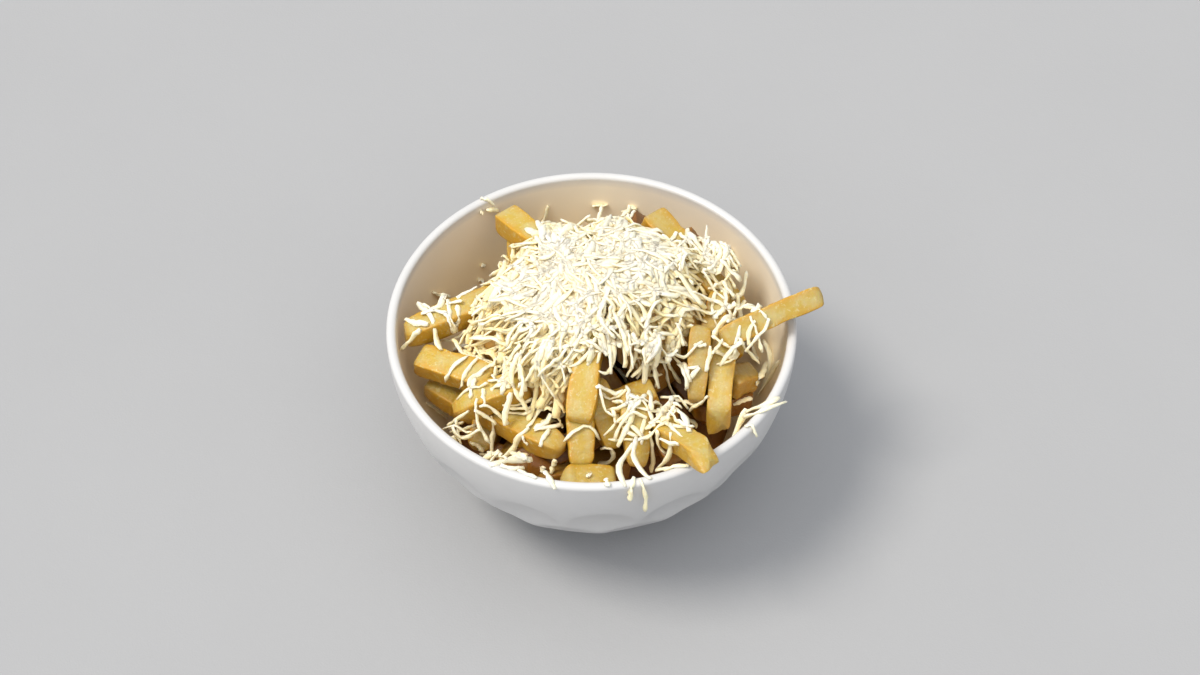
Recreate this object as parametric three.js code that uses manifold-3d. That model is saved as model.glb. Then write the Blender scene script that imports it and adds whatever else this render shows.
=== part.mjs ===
// A bowl of french fries under a heap of grated white cheese.
// Millimetres, +Z up. The origin is the centre of the bowl's flat base.
import * as THREE from 'three';
import { mergeVertices } from 'three/addons/utils/BufferGeometryUtils.js';
import Module from 'manifold-3d';

const wasm = await Module();
wasm.setup();

// ---- driving dimensions ----
const bowlHeight = 66;
const rimRadius = 67.5;
const rimWall = 3.2; // thickness of the wall at the lip
const lipHeight = 1.3; // rise of the rounded lip above the straight wall
const outerDepth = 72; // vertical half-axis of the outer ellipsoid
const innerDepth = 62; // vertical half-axis of the hollow
const footRadius = 31;
const footHeight = 2.2;
const footEdge = 0.6; // bevel round the base
const bowlSides = 48;
const hollowSteps = 7;

const facetRows = [ // rings of shallow round flats pressed into the outside
  { below: 21, diameter: 22.5, turn: 0 },
  { below: 33, diameter: 20.5, turn: 0.5 },
  { below: 46, diameter: 17, turn: 0 },
];
const facetsPerRow = 16;
const facetStart = 2.7; // degrees from the front, towards +X
const facetSides = 12;
const cutterHeight = 8;
const cutterMargin = 2; // the cutter's radius over the flat's

const pieceGap = 0.4; // clear space between solids
const sliver = 0.03; // what is thinner than this is smoothed away after a join
const fryWidth = 9;
const fryEnd = 0.68; // size of a fry's blunt end against its middle
const fryTip = 1.6; // length over which a fry's end narrows
const fryChamfer = 0.2; // corner cut, as a share of the width

const coreTop = 10; // depth of the heap's core below the rim at the middle
const coreFall = 24; // further fall of the core at coreReach from the middle
const coreReach = 55;
const coreSlope = 1.6; // fall of the core beside a fry that it carries
const coreBite = 1.2; // rise of the core into a fry that it carries
const coreAtWall = -15; // the core stays under this height beside the wall
const coreSides = 36;
const coreFloor = 71; // the core's underside, below the rim before it is cut to the hollow

const fillerTries = 60; // not all of them find room
const fillerHeight = 8.4;
const fillerShortest = 24;
const fillerNearest = 20; // middle of a filler from the bowl's axis
const fillerSpread = 29;
const fillerLift = 3; // lower fillers' axes above the core
const layerStep = 6; // upper fillers above the lower ones
const wallRoom = 7.5; // from a filler's end to the wall, along its level
const wallDrop = 5; // depth under a filler's axis at which that room is taken
const lowFill = -33; // fillers stay under this where the heap lies deep at the wall
const cheeseCentre = [0, 8];
const cheeseRadius = 40.5;
const cheeseTop = 15; // crown above the rim
const cheeseEdge = -7; // top of the cheese at its border, against the rim
const cheesePower = 3;
const cheeseLump = 1.1; // height of the mound's soft lumps
const cheeseSides = 32;
const shredWidth = 2.6;
const shredThickness = 1.7;
const shredLift = 2; // most that one end of a shred stands off
const shredCurl = 0.09; // turn of a shred's run, in radians a millimetre
const freeSpace = { low: [-48, 20, 52], high: [-32, 38, 70] }; // kept empty at the back left
const wallClear = 3; // from a shred to the wall at the rim
const shredCount = 36;
const fringeCount = 16; // shreds that hang over the fries round the mound

// Fries that lie in the open. Both ends as [x, y, height above the rim],
// then width, height and roll about the length in degrees.
const openFries = [
  { from: [-31, 50, -4], to: [-8, 21, 5], width: 9.2, height: 8.5, roll: 0 },
  { from: [-26, 48, -10], to: [-23, 17, -10], width: 8.5, height: 9, roll: 0 },
  { from: [19, 43, 4], to: [36, 22, 1], width: 9.5, height: 9, roll: 0 },
  { from: [76, 5, 8], to: [42, -9, 2], width: 7.6, height: 8, roll: -35 },
  { from: [-62, -1, -6], to: [-18, 15, 0], width: 9, height: 8.5, roll: 0 },
  { from: [-40, 15, -9], to: [-38, 3, -12], width: 9, height: 8, roll: 0 },
  { from: [-58, -6, -12], to: [-32, -19, -8], width: 9.5, height: 8, roll: 10 },
  { from: [-55, -9, -22], to: [-35, -20, -26], width: 9, height: 8, roll: 0 },
  { from: [-45, -28, -12], to: [-21, -23, -4], width: 9, height: 9, roll: 0 },
  { from: [-40, -19, -19], to: [-9, -43, -13], width: 9, height: 8, roll: 0 },
  { from: [-31, -14, -22], to: [-37, -31, -30], width: 9, height: 9, roll: 0 },
  { from: [1, -7, 10], to: [-4, -39, -4], width: 9.2, height: 8, roll: 0 },
  { from: [-4, -31, -5], to: [-3, -48, -15], width: 8.5, height: 8, roll: 0 },
  { from: [-10, -54, -17], to: [8, -53, -17], width: 9.5, height: 9, roll: 0 },
  { from: [0, -22, -2], to: [7, -41, -15], width: 8.5, height: 8.5, roll: 0 },
  { from: [13, -30, 1], to: [15, -49, -14], width: 9, height: 8, roll: 0 },
  { from: [22, -38, -7], to: [37, -63, 9], width: 8.2, height: 7.4, roll: 0 },
  { from: [44, -1, -4], to: [41, -32, -18], width: 8.4, height: 8, roll: 0 },
  { from: [45, -15, -14], to: [54, -10, -16], width: 8.5, height: 8, roll: 0 },
  { from: [36, -1, 0], to: [34, -24, -13], width: 7, height: 9, roll: 0 },
  { from: [5, -30, -10], to: [21, -25, -6], width: 9, height: 8.5, roll: 0 },
  { from: [-3, -7, -6], to: [7, -19, -17], width: 9, height: 9, roll: 0 },
  { from: [33, -19, -22], to: [53, -12, -23], width: 9, height: 9, roll: 0 },
  { from: [43, 14, -2], to: [39, -3, -9], width: 7.5, height: 8.5, roll: 0 },
  { from: [34, 22, 0], to: [49, 12, -11], width: 8.5, height: 8.5, roll: 0 },
  { from: [38, -1, -6], to: [49, -2, -14], width: 8.5, height: 8.5, roll: 0 },
];

// Swells and dips of the cheese's border: bearing, reach and spread.
const borderWaves = [
  { bearing: 50, reach: 4, spread: 35 },
  { bearing: 24, reach: 2.5, spread: 12 },
  { bearing: 94, reach: -6.5, spread: 13 },
  { bearing: 117, reach: 3, spread: 9 },
  { bearing: 155, reach: -4.5, spread: 14 },
  { bearing: -170, reach: 5, spread: 16 },
  { bearing: -108, reach: 2, spread: 14 },
  { bearing: -72, reach: -24, spread: 14 },
  { bearing: -38, reach: -10, spread: 16 },
];

// ---- small helpers ----
const radians = THREE.MathUtils.degToRad;

let seed = 7;
function random() { // repeatable draw between 0 and 1
  seed = (seed * 1664525 + 1013904223) % 4294967296;
  return seed / 4294967296;
}

function closedGeometry(points, triangles) {
  const geometry = new THREE.BufferGeometry();
  geometry.setAttribute('position', new THREE.Float32BufferAttribute(points.flat(), 3));
  geometry.setIndex(triangles.flat());
  return geometry;
}

function toSolid(geometry) {
  const bare = geometry.clone();
  bare.deleteAttribute('normal');
  bare.deleteAttribute('uv');
  const merged = mergeVertices(bare, 1e-4);
  const index = Array.from(merged.index.array);
  const triangles = [];
  for (let i = 0; i < index.length; i += 3) {
    const [a, b, c] = index.slice(i, i + 3);
    if (a !== b && b !== c && c !== a) triangles.push(a, b, c);
  }
  const mesh = new wasm.Mesh({
    numProp: 3,
    vertProperties: new Float32Array(merged.attributes.position.array),
    triVerts: new Uint32Array(triangles),
  });
  const solid = new wasm.Manifold(mesh);
  return solid.volume() > 0 ? solid : new wasm.Manifold(flipped(mesh));
}

function flipped(mesh) {
  const triVerts = mesh.triVerts.slice();
  for (let i = 0; i < triVerts.length; i += 3) {
    [triVerts[i], triVerts[i + 1]] = [triVerts[i + 1], triVerts[i]];
  }
  return new wasm.Mesh({ numProp: 3, vertProperties: mesh.vertProperties, triVerts });
}

function unite(solids) {
  return solids.reduce((whole, solid) => whole.add(solid));
}

function largest(solid) {
  return solid.decompose().reduce((a, b) => (b.volume() > a.volume() ? b : a));
}

// The main body of a join, without its loose scraps and hair-thin slivers.
function mainBody(solid) {
  return largest(largest(solid).asOriginal().simplify(sliver));
}

function toMesh(name, solid, finish) {
  const { vertProperties, triVerts } = solid.getMesh();
  const geometry = new THREE.BufferGeometry();
  geometry.setAttribute('position', new THREE.BufferAttribute(vertProperties, 3));
  geometry.setIndex(new THREE.BufferAttribute(triVerts, 1));
  const mesh = new THREE.Mesh(geometry, new THREE.MeshStandardMaterial(finish));
  mesh.name = name;
  return mesh;
}

function boxSolid({ low, high }) {
  const size = high.map((v, k) => v - low[k]);
  const middle = high.map((v, k) => (v + low[k]) / 2);
  return toSolid(new THREE.BoxGeometry(...size).translate(...middle));
}

// A profile of [radius, height] pairs turned about the Z axis.
function turned(profile, sides) {
  const points = profile.map(([radius, height]) => new THREE.Vector2(radius, height));
  return new THREE.LatheGeometry(points, sides).rotateX(Math.PI / 2);
}

// Radius of an ellipsoid of revolution at a depth below its widest circle.
function ellipsoidRadius(radius, depth, below) {
  return radius * Math.sqrt(Math.max(0, 1 - (below / depth) ** 2));
}

// A tube of closed sections: rings of equal point counts, capped at both ends.
function ringSolid(rings) {
  const sides = rings[0].length;
  const triangles = [];
  for (let i = 0; i < rings.length - 1; i += 1) {
    for (let j = 0; j < sides; j += 1) {
      const a = i * sides + j;
      const b = i * sides + ((j + 1) % sides);
      triangles.push([a, b, b + sides], [a, b + sides, a + sides]);
    }
  }
  const last = (rings.length - 1) * sides;
  for (let j = 1; j < sides - 1; j += 1) {
    triangles.push([0, j + 1, j], [last, last + j, last + j + 1]);
  }
  return toSolid(closedGeometry(rings.flat(), triangles));
}

// ---- bowl ----
const rimLevel = bowlHeight;
const wallTop = bowlHeight - lipHeight;
const hollowRadius = rimRadius - rimWall;

function bowlProfile() {
  const profile = [[0, 0], [footRadius - footEdge, 0], [footRadius, footEdge], [footRadius, footHeight]];
  const outerSteps = 7;
  const firstBelow = wallTop - footHeight - 1;
  for (let i = 0; i < outerSteps; i += 1) {
    const below = firstBelow * (1 - i / outerSteps) ** 1.25;
    profile.push([ellipsoidRadius(rimRadius, outerDepth, below), wallTop - below]);
  }
  const lipSteps = 4;
  for (let i = 0; i <= lipSteps; i += 1) {
    const angle = (Math.PI * i) / lipSteps;
    const middle = rimRadius - rimWall / 2;
    profile.push([middle + (rimWall / 2) * Math.cos(angle), wallTop + lipHeight * Math.sin(angle)]);
  }
  profile.push(...hollowProfile(0).slice(1));
  return profile;
}

// The hollow's curve from its widest circle down to the axis, a gap inside the wall.
function hollowProfile(gap) {
  const profile = [];
  for (let i = 0; i <= hollowSteps; i += 1) {
    const angle = (Math.PI / 2) * (i / hollowSteps);
    const radius = i === hollowSteps ? 0 : (hollowRadius - gap) * Math.cos(angle);
    profile.push([radius, wallTop - (innerDepth - gap) * Math.sin(angle)]);
  }
  return profile;
}

// A short round block whose flat end lies where one pressed flat goes.
function facetCutter(row, bearing) {
  const below = radians(row.below);
  const radius = rimRadius * Math.cos(below);
  const surface = new THREE.Vector3(
    radius * Math.sin(bearing),
    -radius * Math.cos(bearing),
    wallTop - outerDepth * Math.sin(below),
  );
  const slope = Math.cos(below) / rimRadius;
  const outward = new THREE.Vector3(
    slope * Math.sin(bearing),
    -slope * Math.cos(bearing),
    -Math.sin(below) / outerDepth,
  ).normalize();
  const sink = row.diameter ** 2 / (8 * rimRadius);
  const cutterRadius = row.diameter / 2 + cutterMargin;
  const block = new THREE.CylinderGeometry(cutterRadius, cutterRadius, cutterHeight, facetSides);
  const turn = new THREE.Quaternion().setFromUnitVectors(new THREE.Vector3(0, 1, 0), outward);
  block.applyQuaternion(turn);
  const centre = surface.addScaledVector(outward, cutterHeight / 2 - sink);
  block.translate(centre.x, centre.y, centre.z);
  return toSolid(block);
}

function makeBowl() {
  let bowl = toSolid(turned(bowlProfile(), bowlSides));
  for (const row of facetRows) {
    for (let i = 0; i < facetsPerRow; i += 1) {
      const bearing = radians(facetStart) + ((i + row.turn) * 2 * Math.PI) / facetsPerRow;
      bowl = bowl.subtract(facetCutter(row, bearing));
    }
  }
  return bowl;
}

// ---- heap of fries ----
function hollowAt(height) { // clear radius inside the bowl at a height against the rim
  const below = -height - lipHeight;
  return below > 0 ? ellipsoidRadius(hollowRadius, innerDepth, below) : hollowRadius;
}

// Where a fry's axis passes a point: the distance sideways and the height there.
function passing(fry, x, y) {
  const [ax, ay, az] = fry.from;
  const [dx, dy, dz] = fry.to.map((v, k) => v - fry.from[k]);
  const part = THREE.MathUtils.clamp(((x - ax) * dx + (y - ay) * dy) / (dx * dx + dy * dy), 0, 1);
  return { away: Math.hypot(x - ax - part * dx, y - ay - part * dy), height: az + part * dz };
}

// Top of the packed core, against the rim: a low mound that rises to carry each open fry.
function coreHeight(x, y) {
  const away = Math.hypot(x, y);
  const highest = coreAtWall + Math.max(0, coreReach - away) * 2;
  let height = -coreTop - coreFall * (away / coreReach) ** 2;
  for (const fry of openFries) {
    const near = passing(fry, x, y);
    const beside = Math.max(0, near.away - fry.width / 3);
    const carried = near.height - fry.height / 2 + coreBite - coreSlope * beside;
    height = Math.max(height, Math.min(highest, carried));
  }
  return height;
}

// A closed body under a height map, on rings round a centre, moved by a shift.
function heapSolid(heightAt, pointAt, shares, centre, sides, lowest, shift) {
  const points = [[...centre, rimLevel + heightAt(...centre)]];
  const triangles = [];
  const ringAt = (share, height) => {
    const first = points.length;
    for (let i = 0; i < sides; i += 1) {
      const [x, y] = pointAt((2 * Math.PI * i) / sides, share);
      points.push([x, y, height ?? rimLevel + heightAt(x, y)]);
    }
    return first;
  };
  const rings = shares.map((share) => ringAt(share));
  rings.push(ringAt(1, lowest));
  const bottom = rings[rings.length - 1];
  for (let i = 0; i < sides; i += 1) {
    const next = (i + 1) % sides;
    triangles.push([0, rings[0] + i, rings[0] + next]);
    for (let k = 0; k < rings.length - 1; k += 1) {
      const [a, b] = [rings[k], rings[k + 1]];
      triangles.push([a + i, b + i, b + next], [a + i, b + next, a + next]);
    }
    if (i > 0 && next > 0) triangles.push([bottom, bottom + next, bottom + i]);
  }
  return toSolid(closedGeometry(points, triangles).translate(...shift));
}

const noShift = [0, 0, 0];
const gapShifts = [ // small moves that together grow a body by the gap
  [pieceGap, 0, 0],
  [-pieceGap, 0, 0],
  [0, pieceGap, 0],
  [0, -pieceGap, 0],
  [0, 0, pieceGap],
];

// What would fill the bowl to its rim, a gap clear of the wall.
function hollowFill() {
  const radius = hollowRadius - pieceGap;
  const lid = [[0, rimLevel + lipHeight], [radius, rimLevel + lipHeight]];
  return toSolid(turned([...lid, ...hollowProfile(pieceGap)], bowlSides));
}

function heapCore(shift) {
  const shares = [0.2, 0.38, 0.54, 0.68, 0.8, 0.9, 1];
  const reach = rimRadius + 2;
  const pointAt = (bearing, share) => [
    reach * share * Math.cos(bearing),
    reach * share * Math.sin(bearing),
  ];
  return heapSolid(coreHeight, pointAt, shares, [0, 0], coreSides, rimLevel - coreFloor, shift);
}

// Rows of an 8-sided section swept from one end of a fry to the other.
function frySolid(fry, grow = 0) {
  const start = new THREE.Vector3(...fry.from);
  const along = new THREE.Vector3(...fry.to).sub(start);
  const length = along.length();
  along.normalize();
  const level = new THREE.Vector3(0, 0, 1).cross(along).normalize();
  const up = along.clone().cross(level);
  const roll = radians(fry.roll);
  const side = level.clone().multiplyScalar(Math.cos(roll)).addScaledVector(up, Math.sin(roll));
  const top = along.clone().cross(side);
  const halfWidth = fry.width / 2 + grow;
  const halfHeight = fry.height / 2 + grow;
  const cut = 1 - 2 * fryChamfer;
  const corners = [[1, -cut], [1, cut], [cut, 1], [-cut, 1]];
  const section = [...corners, ...corners.map(([a, b]) => [-a, -b])];
  const stations = [
    [-grow, fryEnd],
    [fryTip, 1],
    [length - fryTip, 1],
    [length + grow, fryEnd],
  ];
  return ringSolid(stations.map(([travel, size]) => section.map(([a, b]) => {
    const point = start.clone().addScaledVector(along, travel);
    point.addScaledVector(side, a * halfWidth * size);
    point.addScaledVector(top, b * halfHeight * size);
    return [point.x, point.y, point.z + rimLevel];
  })));
}

// How far a fry's axis point must drop to pass under an open fry, or 0.
function dropUnder(x, y, z, open) {
  const near = passing(open, x, y);
  if (near.away > (open.width + fryWidth) / 2 - 1) return 0;
  const highest = near.height - (open.height + fryWidth) / 2 + coreBite;
  return Math.max(0, z - highest);
}

// Height, against the rim, that the fillers' axes stay under.
function fillCeiling(x, y) {
  const bearing = THREE.MathUtils.radToDeg(Math.atan2(y, x));
  const away = Math.hypot(x, y);
  const openBack = bearing > 105 && bearing < 178 && away > 28;
  const openFront = bearing > -52 && bearing < -20 && away > 40;
  const low = lowFill + Math.max(0, 50 - away) * 0.25;
  return openBack || openFront ? low : coreHeight(x, y) + fillerLift + layerStep;
}

// Fries that lie deeper, in two layers round the heap.
function makeFillers() {
  const fillers = [];
  for (let i = 0; i < fillerTries; i += 1) {
    const bearing = random() * 2 * Math.PI;
    const away = fillerNearest + fillerSpread * Math.sqrt(random());
    const heading = random() * Math.PI;
    const half = 15 + 13 * random();
    const tilt = 8 * (random() - 0.5);
    const roll = 90 * (random() - 0.5);
    const x = away * Math.cos(bearing);
    const y = away * Math.sin(bearing);
    const height = coreHeight(x, y) + fillerLift + layerStep * (i % 2);
    const [from, to] = [-1, 1].map((end) => [
      x + end * half * Math.cos(heading),
      y + end * half * Math.sin(heading),
      height + end * tilt,
    ]);
    const filler = { from, to, width: fryWidth, height: fillerHeight, roll };
    if (settle(filler)) fillers.push(filler);
  }
  return fillers;
}

// Moves an end towards the bowl's axis until it is clear of the wall.
function pullInward(end) {
  const room = hollowAt(end[2] - wallDrop) - wallRoom;
  const reach = Math.hypot(end[0], end[1]);
  if (reach > room) {
    end[0] *= room / reach;
    end[1] *= room / reach;
  }
}

// Lowers a filler until it clears the open fries; false if it ends too short or out of sight.
function settle(filler) {
  const samples = [0, 0.2, 0.4, 0.6, 0.8, 1];
  const ends = [filler.from, filler.to];
  let rise = 0;
  for (let pass = 0; pass < 2; pass += 1) { // a lower filler has less room, so it settles twice
    ends.forEach(pullInward);
    let drop = 0;
    rise = -Infinity;
    for (const part of samples) {
      const [x, y, z] = filler.from.map((v, k) => v + part * (filler.to[k] - v));
      for (const open of openFries) drop = Math.max(drop, dropUnder(x, y, z, open));
      drop = Math.max(drop, z - fillCeiling(x, y));
      rise = Math.max(rise, z - coreHeight(x, y));
    }
    for (const end of ends) end[2] -= drop;
    rise -= drop;
  }
  ends.forEach(pullInward);
  const length = Math.hypot(...filler.from.map((v, k) => v - filler.to[k]));
  return length > fillerShortest && rise > 0;
}

// ---- grated cheese ----
function cheeseReach(bearing) { // radius of the border at a bearing
  let reach = cheeseRadius;
  for (const wave of borderWaves) {
    const turn = bearing - radians(wave.bearing);
    const nearest = THREE.MathUtils.euclideanModulo(turn + Math.PI, 2 * Math.PI) - Math.PI;
    reach += wave.reach * Math.exp(-((nearest / radians(wave.spread)) ** 2));
  }
  return reach;
}

function cheeseHeight(x, y) { // against the rim
  const dx = x - cheeseCentre[0];
  const dy = y - cheeseCentre[1];
  const share = Math.hypot(dx, dy) / cheeseReach(Math.atan2(dy, dx));
  const lumps = cheeseLump * Math.sin(x / 5.5 + 1) * Math.cos(y / 6.5);
  return cheeseTop - (cheeseTop - cheeseEdge) * Math.min(1.2, share) ** cheesePower + lumps;
}

function cheesePoint(bearing, share) {
  const reach = cheeseReach(bearing) * share;
  return [cheeseCentre[0] + reach * Math.cos(bearing), cheeseCentre[1] + reach * Math.sin(bearing)];
}

// The solid mound, from its crown down through the core below it.
function makeMound(shift) {
  const shares = [0.28, 0.52, 0.74, 0.9, 1];
  const lowest = rimLevel - coreTop - coreFall;
  return heapSolid(cheeseHeight, cheesePoint, shares, cheeseCentre, cheeseSides, lowest, shift);
}

// One shred: a bent strip laid along a heading over the mound and the open fries.
function shredSolid(bearing, share, heading, half, steps) {
  const [x, y] = cheesePoint(bearing, share);
  const curl = (random() - 0.5) * shredCurl;
  const lean = random() * shredLift;
  const rings = [];
  for (let i = 0; i <= steps; i += 1) {
    const travel = -half + (2 * half * i) / steps;
    const turn = heading + curl * travel;
    const px = x + travel * Math.cos(turn);
    const py = y + travel * Math.sin(turn);
    const across = [-Math.sin(turn), Math.cos(turn)].map((v) => (v * shredWidth) / 2);
    const low = rimLevel + carryHeight(px, py) + (lean * i) / steps;
    const high = low + shredThickness;
    rings.push([
      [px + across[0], py + across[1], low],
      [px + across[0], py + across[1], high],
      [px - across[0], py - across[1], high],
      [px - across[0], py - across[1], low],
    ]);
  }
  return ringSolid(rings);
}

// Height of a shred's underside: just in the mound, or just clear of a fry's top.
function carryHeight(x, y) {
  let height = cheeseHeight(x, y) - shredThickness * 0.25;
  for (const fry of openFries) {
    const near = passing(fry, x, y);
    if (near.away < (fry.width + shredWidth) / 2) {
      height = Math.max(height, near.height + fry.height / 2 + pieceGap);
    }
  }
  return height;
}

// Shreds spread evenly over the mound, then a fringe round its border.
function makeShreds(obstacle) {
  const shreds = [];
  const keep = (shred) => {
    const free = inBowl(shred) && shred.intersect(obstacle).volume() < 0.001;
    if (free) shreds.push(shred);
    return free;
  };
  const goldenTurn = Math.PI * (3 - Math.sqrt(5));
  for (let i = 0; i < shredCount; i += 1) {
    const share = 0.88 * Math.sqrt((i + 0.5) / shredCount);
    keep(shredSolid(i * goldenTurn, share, random() * Math.PI, 7 + 4 * random(), 2));
  }
  for (let i = 0; i < fringeCount; i += 1) {
    let placed = false;
    for (let tries = 0; tries < 12 && !placed; tries += 1) {
      const bearing = (2 * Math.PI * (i + random())) / fringeCount;
      const heading = bearing + (random() - 0.5) * 1.8;
      placed = keep(shredSolid(bearing, 0.98, heading, 6 + 4 * random(), 3));
    }
  }
  return shreds;
}

function inBowl(solid) { // true where a shred keeps clear of the wall
  const { min, max } = solid.boundingBox();
  const [alongX, alongY] = [0, 1].map((k) => Math.max(Math.abs(min[k]), Math.abs(max[k])));
  return Math.hypot(alongX, alongY) < hollowRadius - wallClear;
}

// ---- assembly ----
const allFries = [...openFries, ...makeFillers()];
const core = heapCore(noShift).intersect(hollowFill());
const fries = mainBody(
  unite([core, ...allFries.map((fry) => frySolid(fry))]).subtract(unite(gapShifts.map(makeMound))),
);

const mound = makeMound(noShift);
const friesGrown = unite(allFries.map((fry) => frySolid(fry, pieceGap))).subtract(mound);
const shreds = makeShreds(friesGrown.add(boxSolid(freeSpace)));
const cheese = mainBody(unite([mound, ...shreds]).subtract(unite(gapShifts.map(heapCore))));

const portion = new THREE.Group();
portion.add(
  toMesh('bowl', makeBowl(), { color: 0xe9e5df, roughness: 0.25, metalness: 0 }),
  toMesh('fries', fries, { color: 0xe0b45c, roughness: 0.6, metalness: 0 }),
  toMesh('grated_cheese', cheese, { color: 0xf8f2dc, roughness: 0.65, metalness: 0 }),
);

export default portion;
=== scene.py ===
# A bowl of french fries under grated white cheese.
# Dictionaries give millimetres and degrees, heights against the rim; meshes are in metres.
import math
import bmesh
import bpy
import numpy as np
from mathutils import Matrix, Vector
from mathutils.bvhtree import BVHTree


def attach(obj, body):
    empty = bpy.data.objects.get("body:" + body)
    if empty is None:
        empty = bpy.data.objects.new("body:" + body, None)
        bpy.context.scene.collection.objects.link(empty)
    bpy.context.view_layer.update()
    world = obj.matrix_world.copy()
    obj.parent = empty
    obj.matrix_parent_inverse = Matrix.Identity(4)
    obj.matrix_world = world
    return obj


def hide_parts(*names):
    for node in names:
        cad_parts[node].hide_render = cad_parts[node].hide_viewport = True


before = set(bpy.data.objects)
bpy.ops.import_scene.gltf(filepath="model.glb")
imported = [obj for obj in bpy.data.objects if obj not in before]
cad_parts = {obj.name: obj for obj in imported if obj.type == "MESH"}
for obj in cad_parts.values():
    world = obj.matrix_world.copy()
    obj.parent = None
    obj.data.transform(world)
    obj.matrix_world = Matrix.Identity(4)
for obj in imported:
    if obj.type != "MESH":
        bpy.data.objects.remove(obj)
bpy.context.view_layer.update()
scene = bpy.context.scene
mm = 0.001
dice = np.random.default_rng(7)


def deselectAll():
    if bpy.context.mode != "OBJECT":
        bpy.ops.object.mode_set(mode="OBJECT")
    bpy.ops.object.select_all(action="DESELECT")


def work(piece):
    deselectAll()
    piece.select_set(True)
    bpy.context.view_layer.objects.active = piece


def startEdit(kind="VERT"):
    bpy.ops.object.mode_set(mode="EDIT")
    bpy.ops.mesh.select_mode(type=kind)
    bpy.ops.mesh.select_all(action="DESELECT")


def selectAll():
    bpy.ops.mesh.select_all(action="SELECT")


def pick(kind, test):
    mesh = bpy.context.edit_object.data
    shape = bmesh.from_edit_mesh(mesh)
    for part in getattr(shape, kind):
        part.select_set(bool(test(part)))
    shape.select_flush_mode()
    bmesh.update_edit_mesh(mesh)


def applyAll(piece):
    work(piece)
    for modifier in list(piece.modifiers):
        bpy.ops.object.modifier_apply(modifier=modifier.name)


def finishPiece(piece, node, material):
    piece.data.materials.clear()
    piece.data.materials.append(material)
    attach(piece, "root")
    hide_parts(node)


def giveValues(mesh, key, values):  # one for each point
    mesh.attributes.new(key, "FLOAT", "POINT").data.foreach_set(
        "value", np.array(values, np.float32))


def giveVectors(mesh, key, values):
    flat = np.array(values, np.float32).ravel()
    mesh.attributes.new(key, "FLOAT_VECTOR", "POINT").data.foreach_set("vector", flat)


def placePiece(name, points, faces):
    mesh = bpy.data.meshes.new(name)
    mesh.from_pydata([tuple(p) for p in points * mm], [], faces)
    mesh.polygons.foreach_set("use_smooth", [True] * len(mesh.polygons))
    mesh.update()
    piece = bpy.data.objects.new(name, mesh)
    scene.collection.objects.link(piece)
    return piece


def newGroup(name, inputs, outputs):
    group = bpy.data.node_groups.new(name, "ShaderNodeTree")
    for label, kind, value in inputs:
        socket = group.interface.new_socket(name=label, in_out="INPUT", socket_type=kind)
        if value is not None:
            socket.default_value = value
    for label, kind in outputs:
        group.interface.new_socket(name=label, in_out="OUTPUT", socket_type=kind)
    return group, group.nodes.new("NodeGroupInput"), group.nodes.new("NodeGroupOutput")


def patchyTone():  # two colours in soft patches
    group, start, end = newGroup(
        "patchyTone",
        [("Vector", "NodeSocketVector", None), ("Scale", "NodeSocketFloat", 200.0),
         ("Middle", "NodeSocketFloat", 0.5), ("Softness", "NodeSocketFloat", 0.12),
         ("Low", "NodeSocketColor", (1, 1, 1, 1)), ("High", "NodeSocketColor", (1, 1, 1, 1))],
        [("Color", "NodeSocketColor"), ("Mask", "NodeSocketFloat")])
    new, link = group.nodes.new, group.links.new
    patches = new("ShaderNodeTexNoise")
    patches.inputs["Detail"].default_value = 4
    patches.inputs["Roughness"].default_value = 0.6
    link(start.outputs["Vector"], patches.inputs["Vector"])
    link(start.outputs["Scale"], patches.inputs["Scale"])
    edges = []
    for operation in ("SUBTRACT", "ADD"):
        edge = new("ShaderNodeMath")
        edge.operation = operation
        link(start.outputs["Middle"], edge.inputs[0])
        link(start.outputs["Softness"], edge.inputs[1])
        edges.append(edge)
    spread = new("ShaderNodeMapRange")
    spread.interpolation_type = "SMOOTHSTEP"
    link(patches.outputs["Fac"], spread.inputs["Value"])
    link(edges[0].outputs[0], spread.inputs["From Min"])
    link(edges[1].outputs[0], spread.inputs["From Max"])
    blend = new("ShaderNodeMix")
    blend.data_type = "RGBA"
    link(spread.outputs["Result"], blend.inputs["Factor"])
    link(start.outputs["Low"], blend.inputs["A"])
    link(start.outputs["High"], blend.inputs["B"])
    link(blend.outputs["Result"], end.inputs["Color"])
    link(spread.outputs["Result"], end.inputs["Mask"])
    return group


def surfaceGrain():  # soft swells with a fine grain on them
    group, start, end = newGroup(
        "surfaceGrain",
        [("Vector", "NodeSocketVector", None), ("Coarse", "NodeSocketFloat", 150.0),
         ("Fine", "NodeSocketFloat", 900.0), ("Fine Share", "NodeSocketFloat", 0.3)],
        [("Height", "NodeSocketFloat")])
    new, link = group.nodes.new, group.links.new
    layers = []
    for size in ("Coarse", "Fine"):
        layer = new("ShaderNodeTexNoise")
        layer.inputs["Detail"].default_value = 3
        link(start.outputs["Vector"], layer.inputs["Vector"])
        link(start.outputs[size], layer.inputs["Scale"])
        layers.append(layer)
    blend = new("ShaderNodeMix")
    link(start.outputs["Fine Share"], blend.inputs["Factor"])
    link(layers[0].outputs["Fac"], blend.inputs["A"])
    link(layers[1].outputs["Fac"], blend.inputs["B"])
    link(blend.outputs["Result"], end.inputs["Height"])
    return group


groups = {"patchyTone": patchyTone(), "surfaceGrain": surfaceGrain()}


def newMaterial(name, **constants):
    material = bpy.data.materials.new(name)
    material.use_nodes = True
    shader = material.node_tree.nodes["Principled BSDF"]
    for key, value in constants.items():
        shader.inputs[key.replace("_", " ")].default_value = value
    return material, material.node_tree, shader


def addGroup(tree, name, vector, **values):
    node = tree.nodes.new("ShaderNodeGroup")
    node.node_tree = groups[name]
    tree.links.new(vector, node.inputs["Vector"])
    for key, value in values.items():
        socket = node.inputs[key.replace("_", " ")]
        if isinstance(value, bpy.types.NodeSocket):
            tree.links.new(value, socket)
        else:
            socket.default_value = value
    return node


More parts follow.
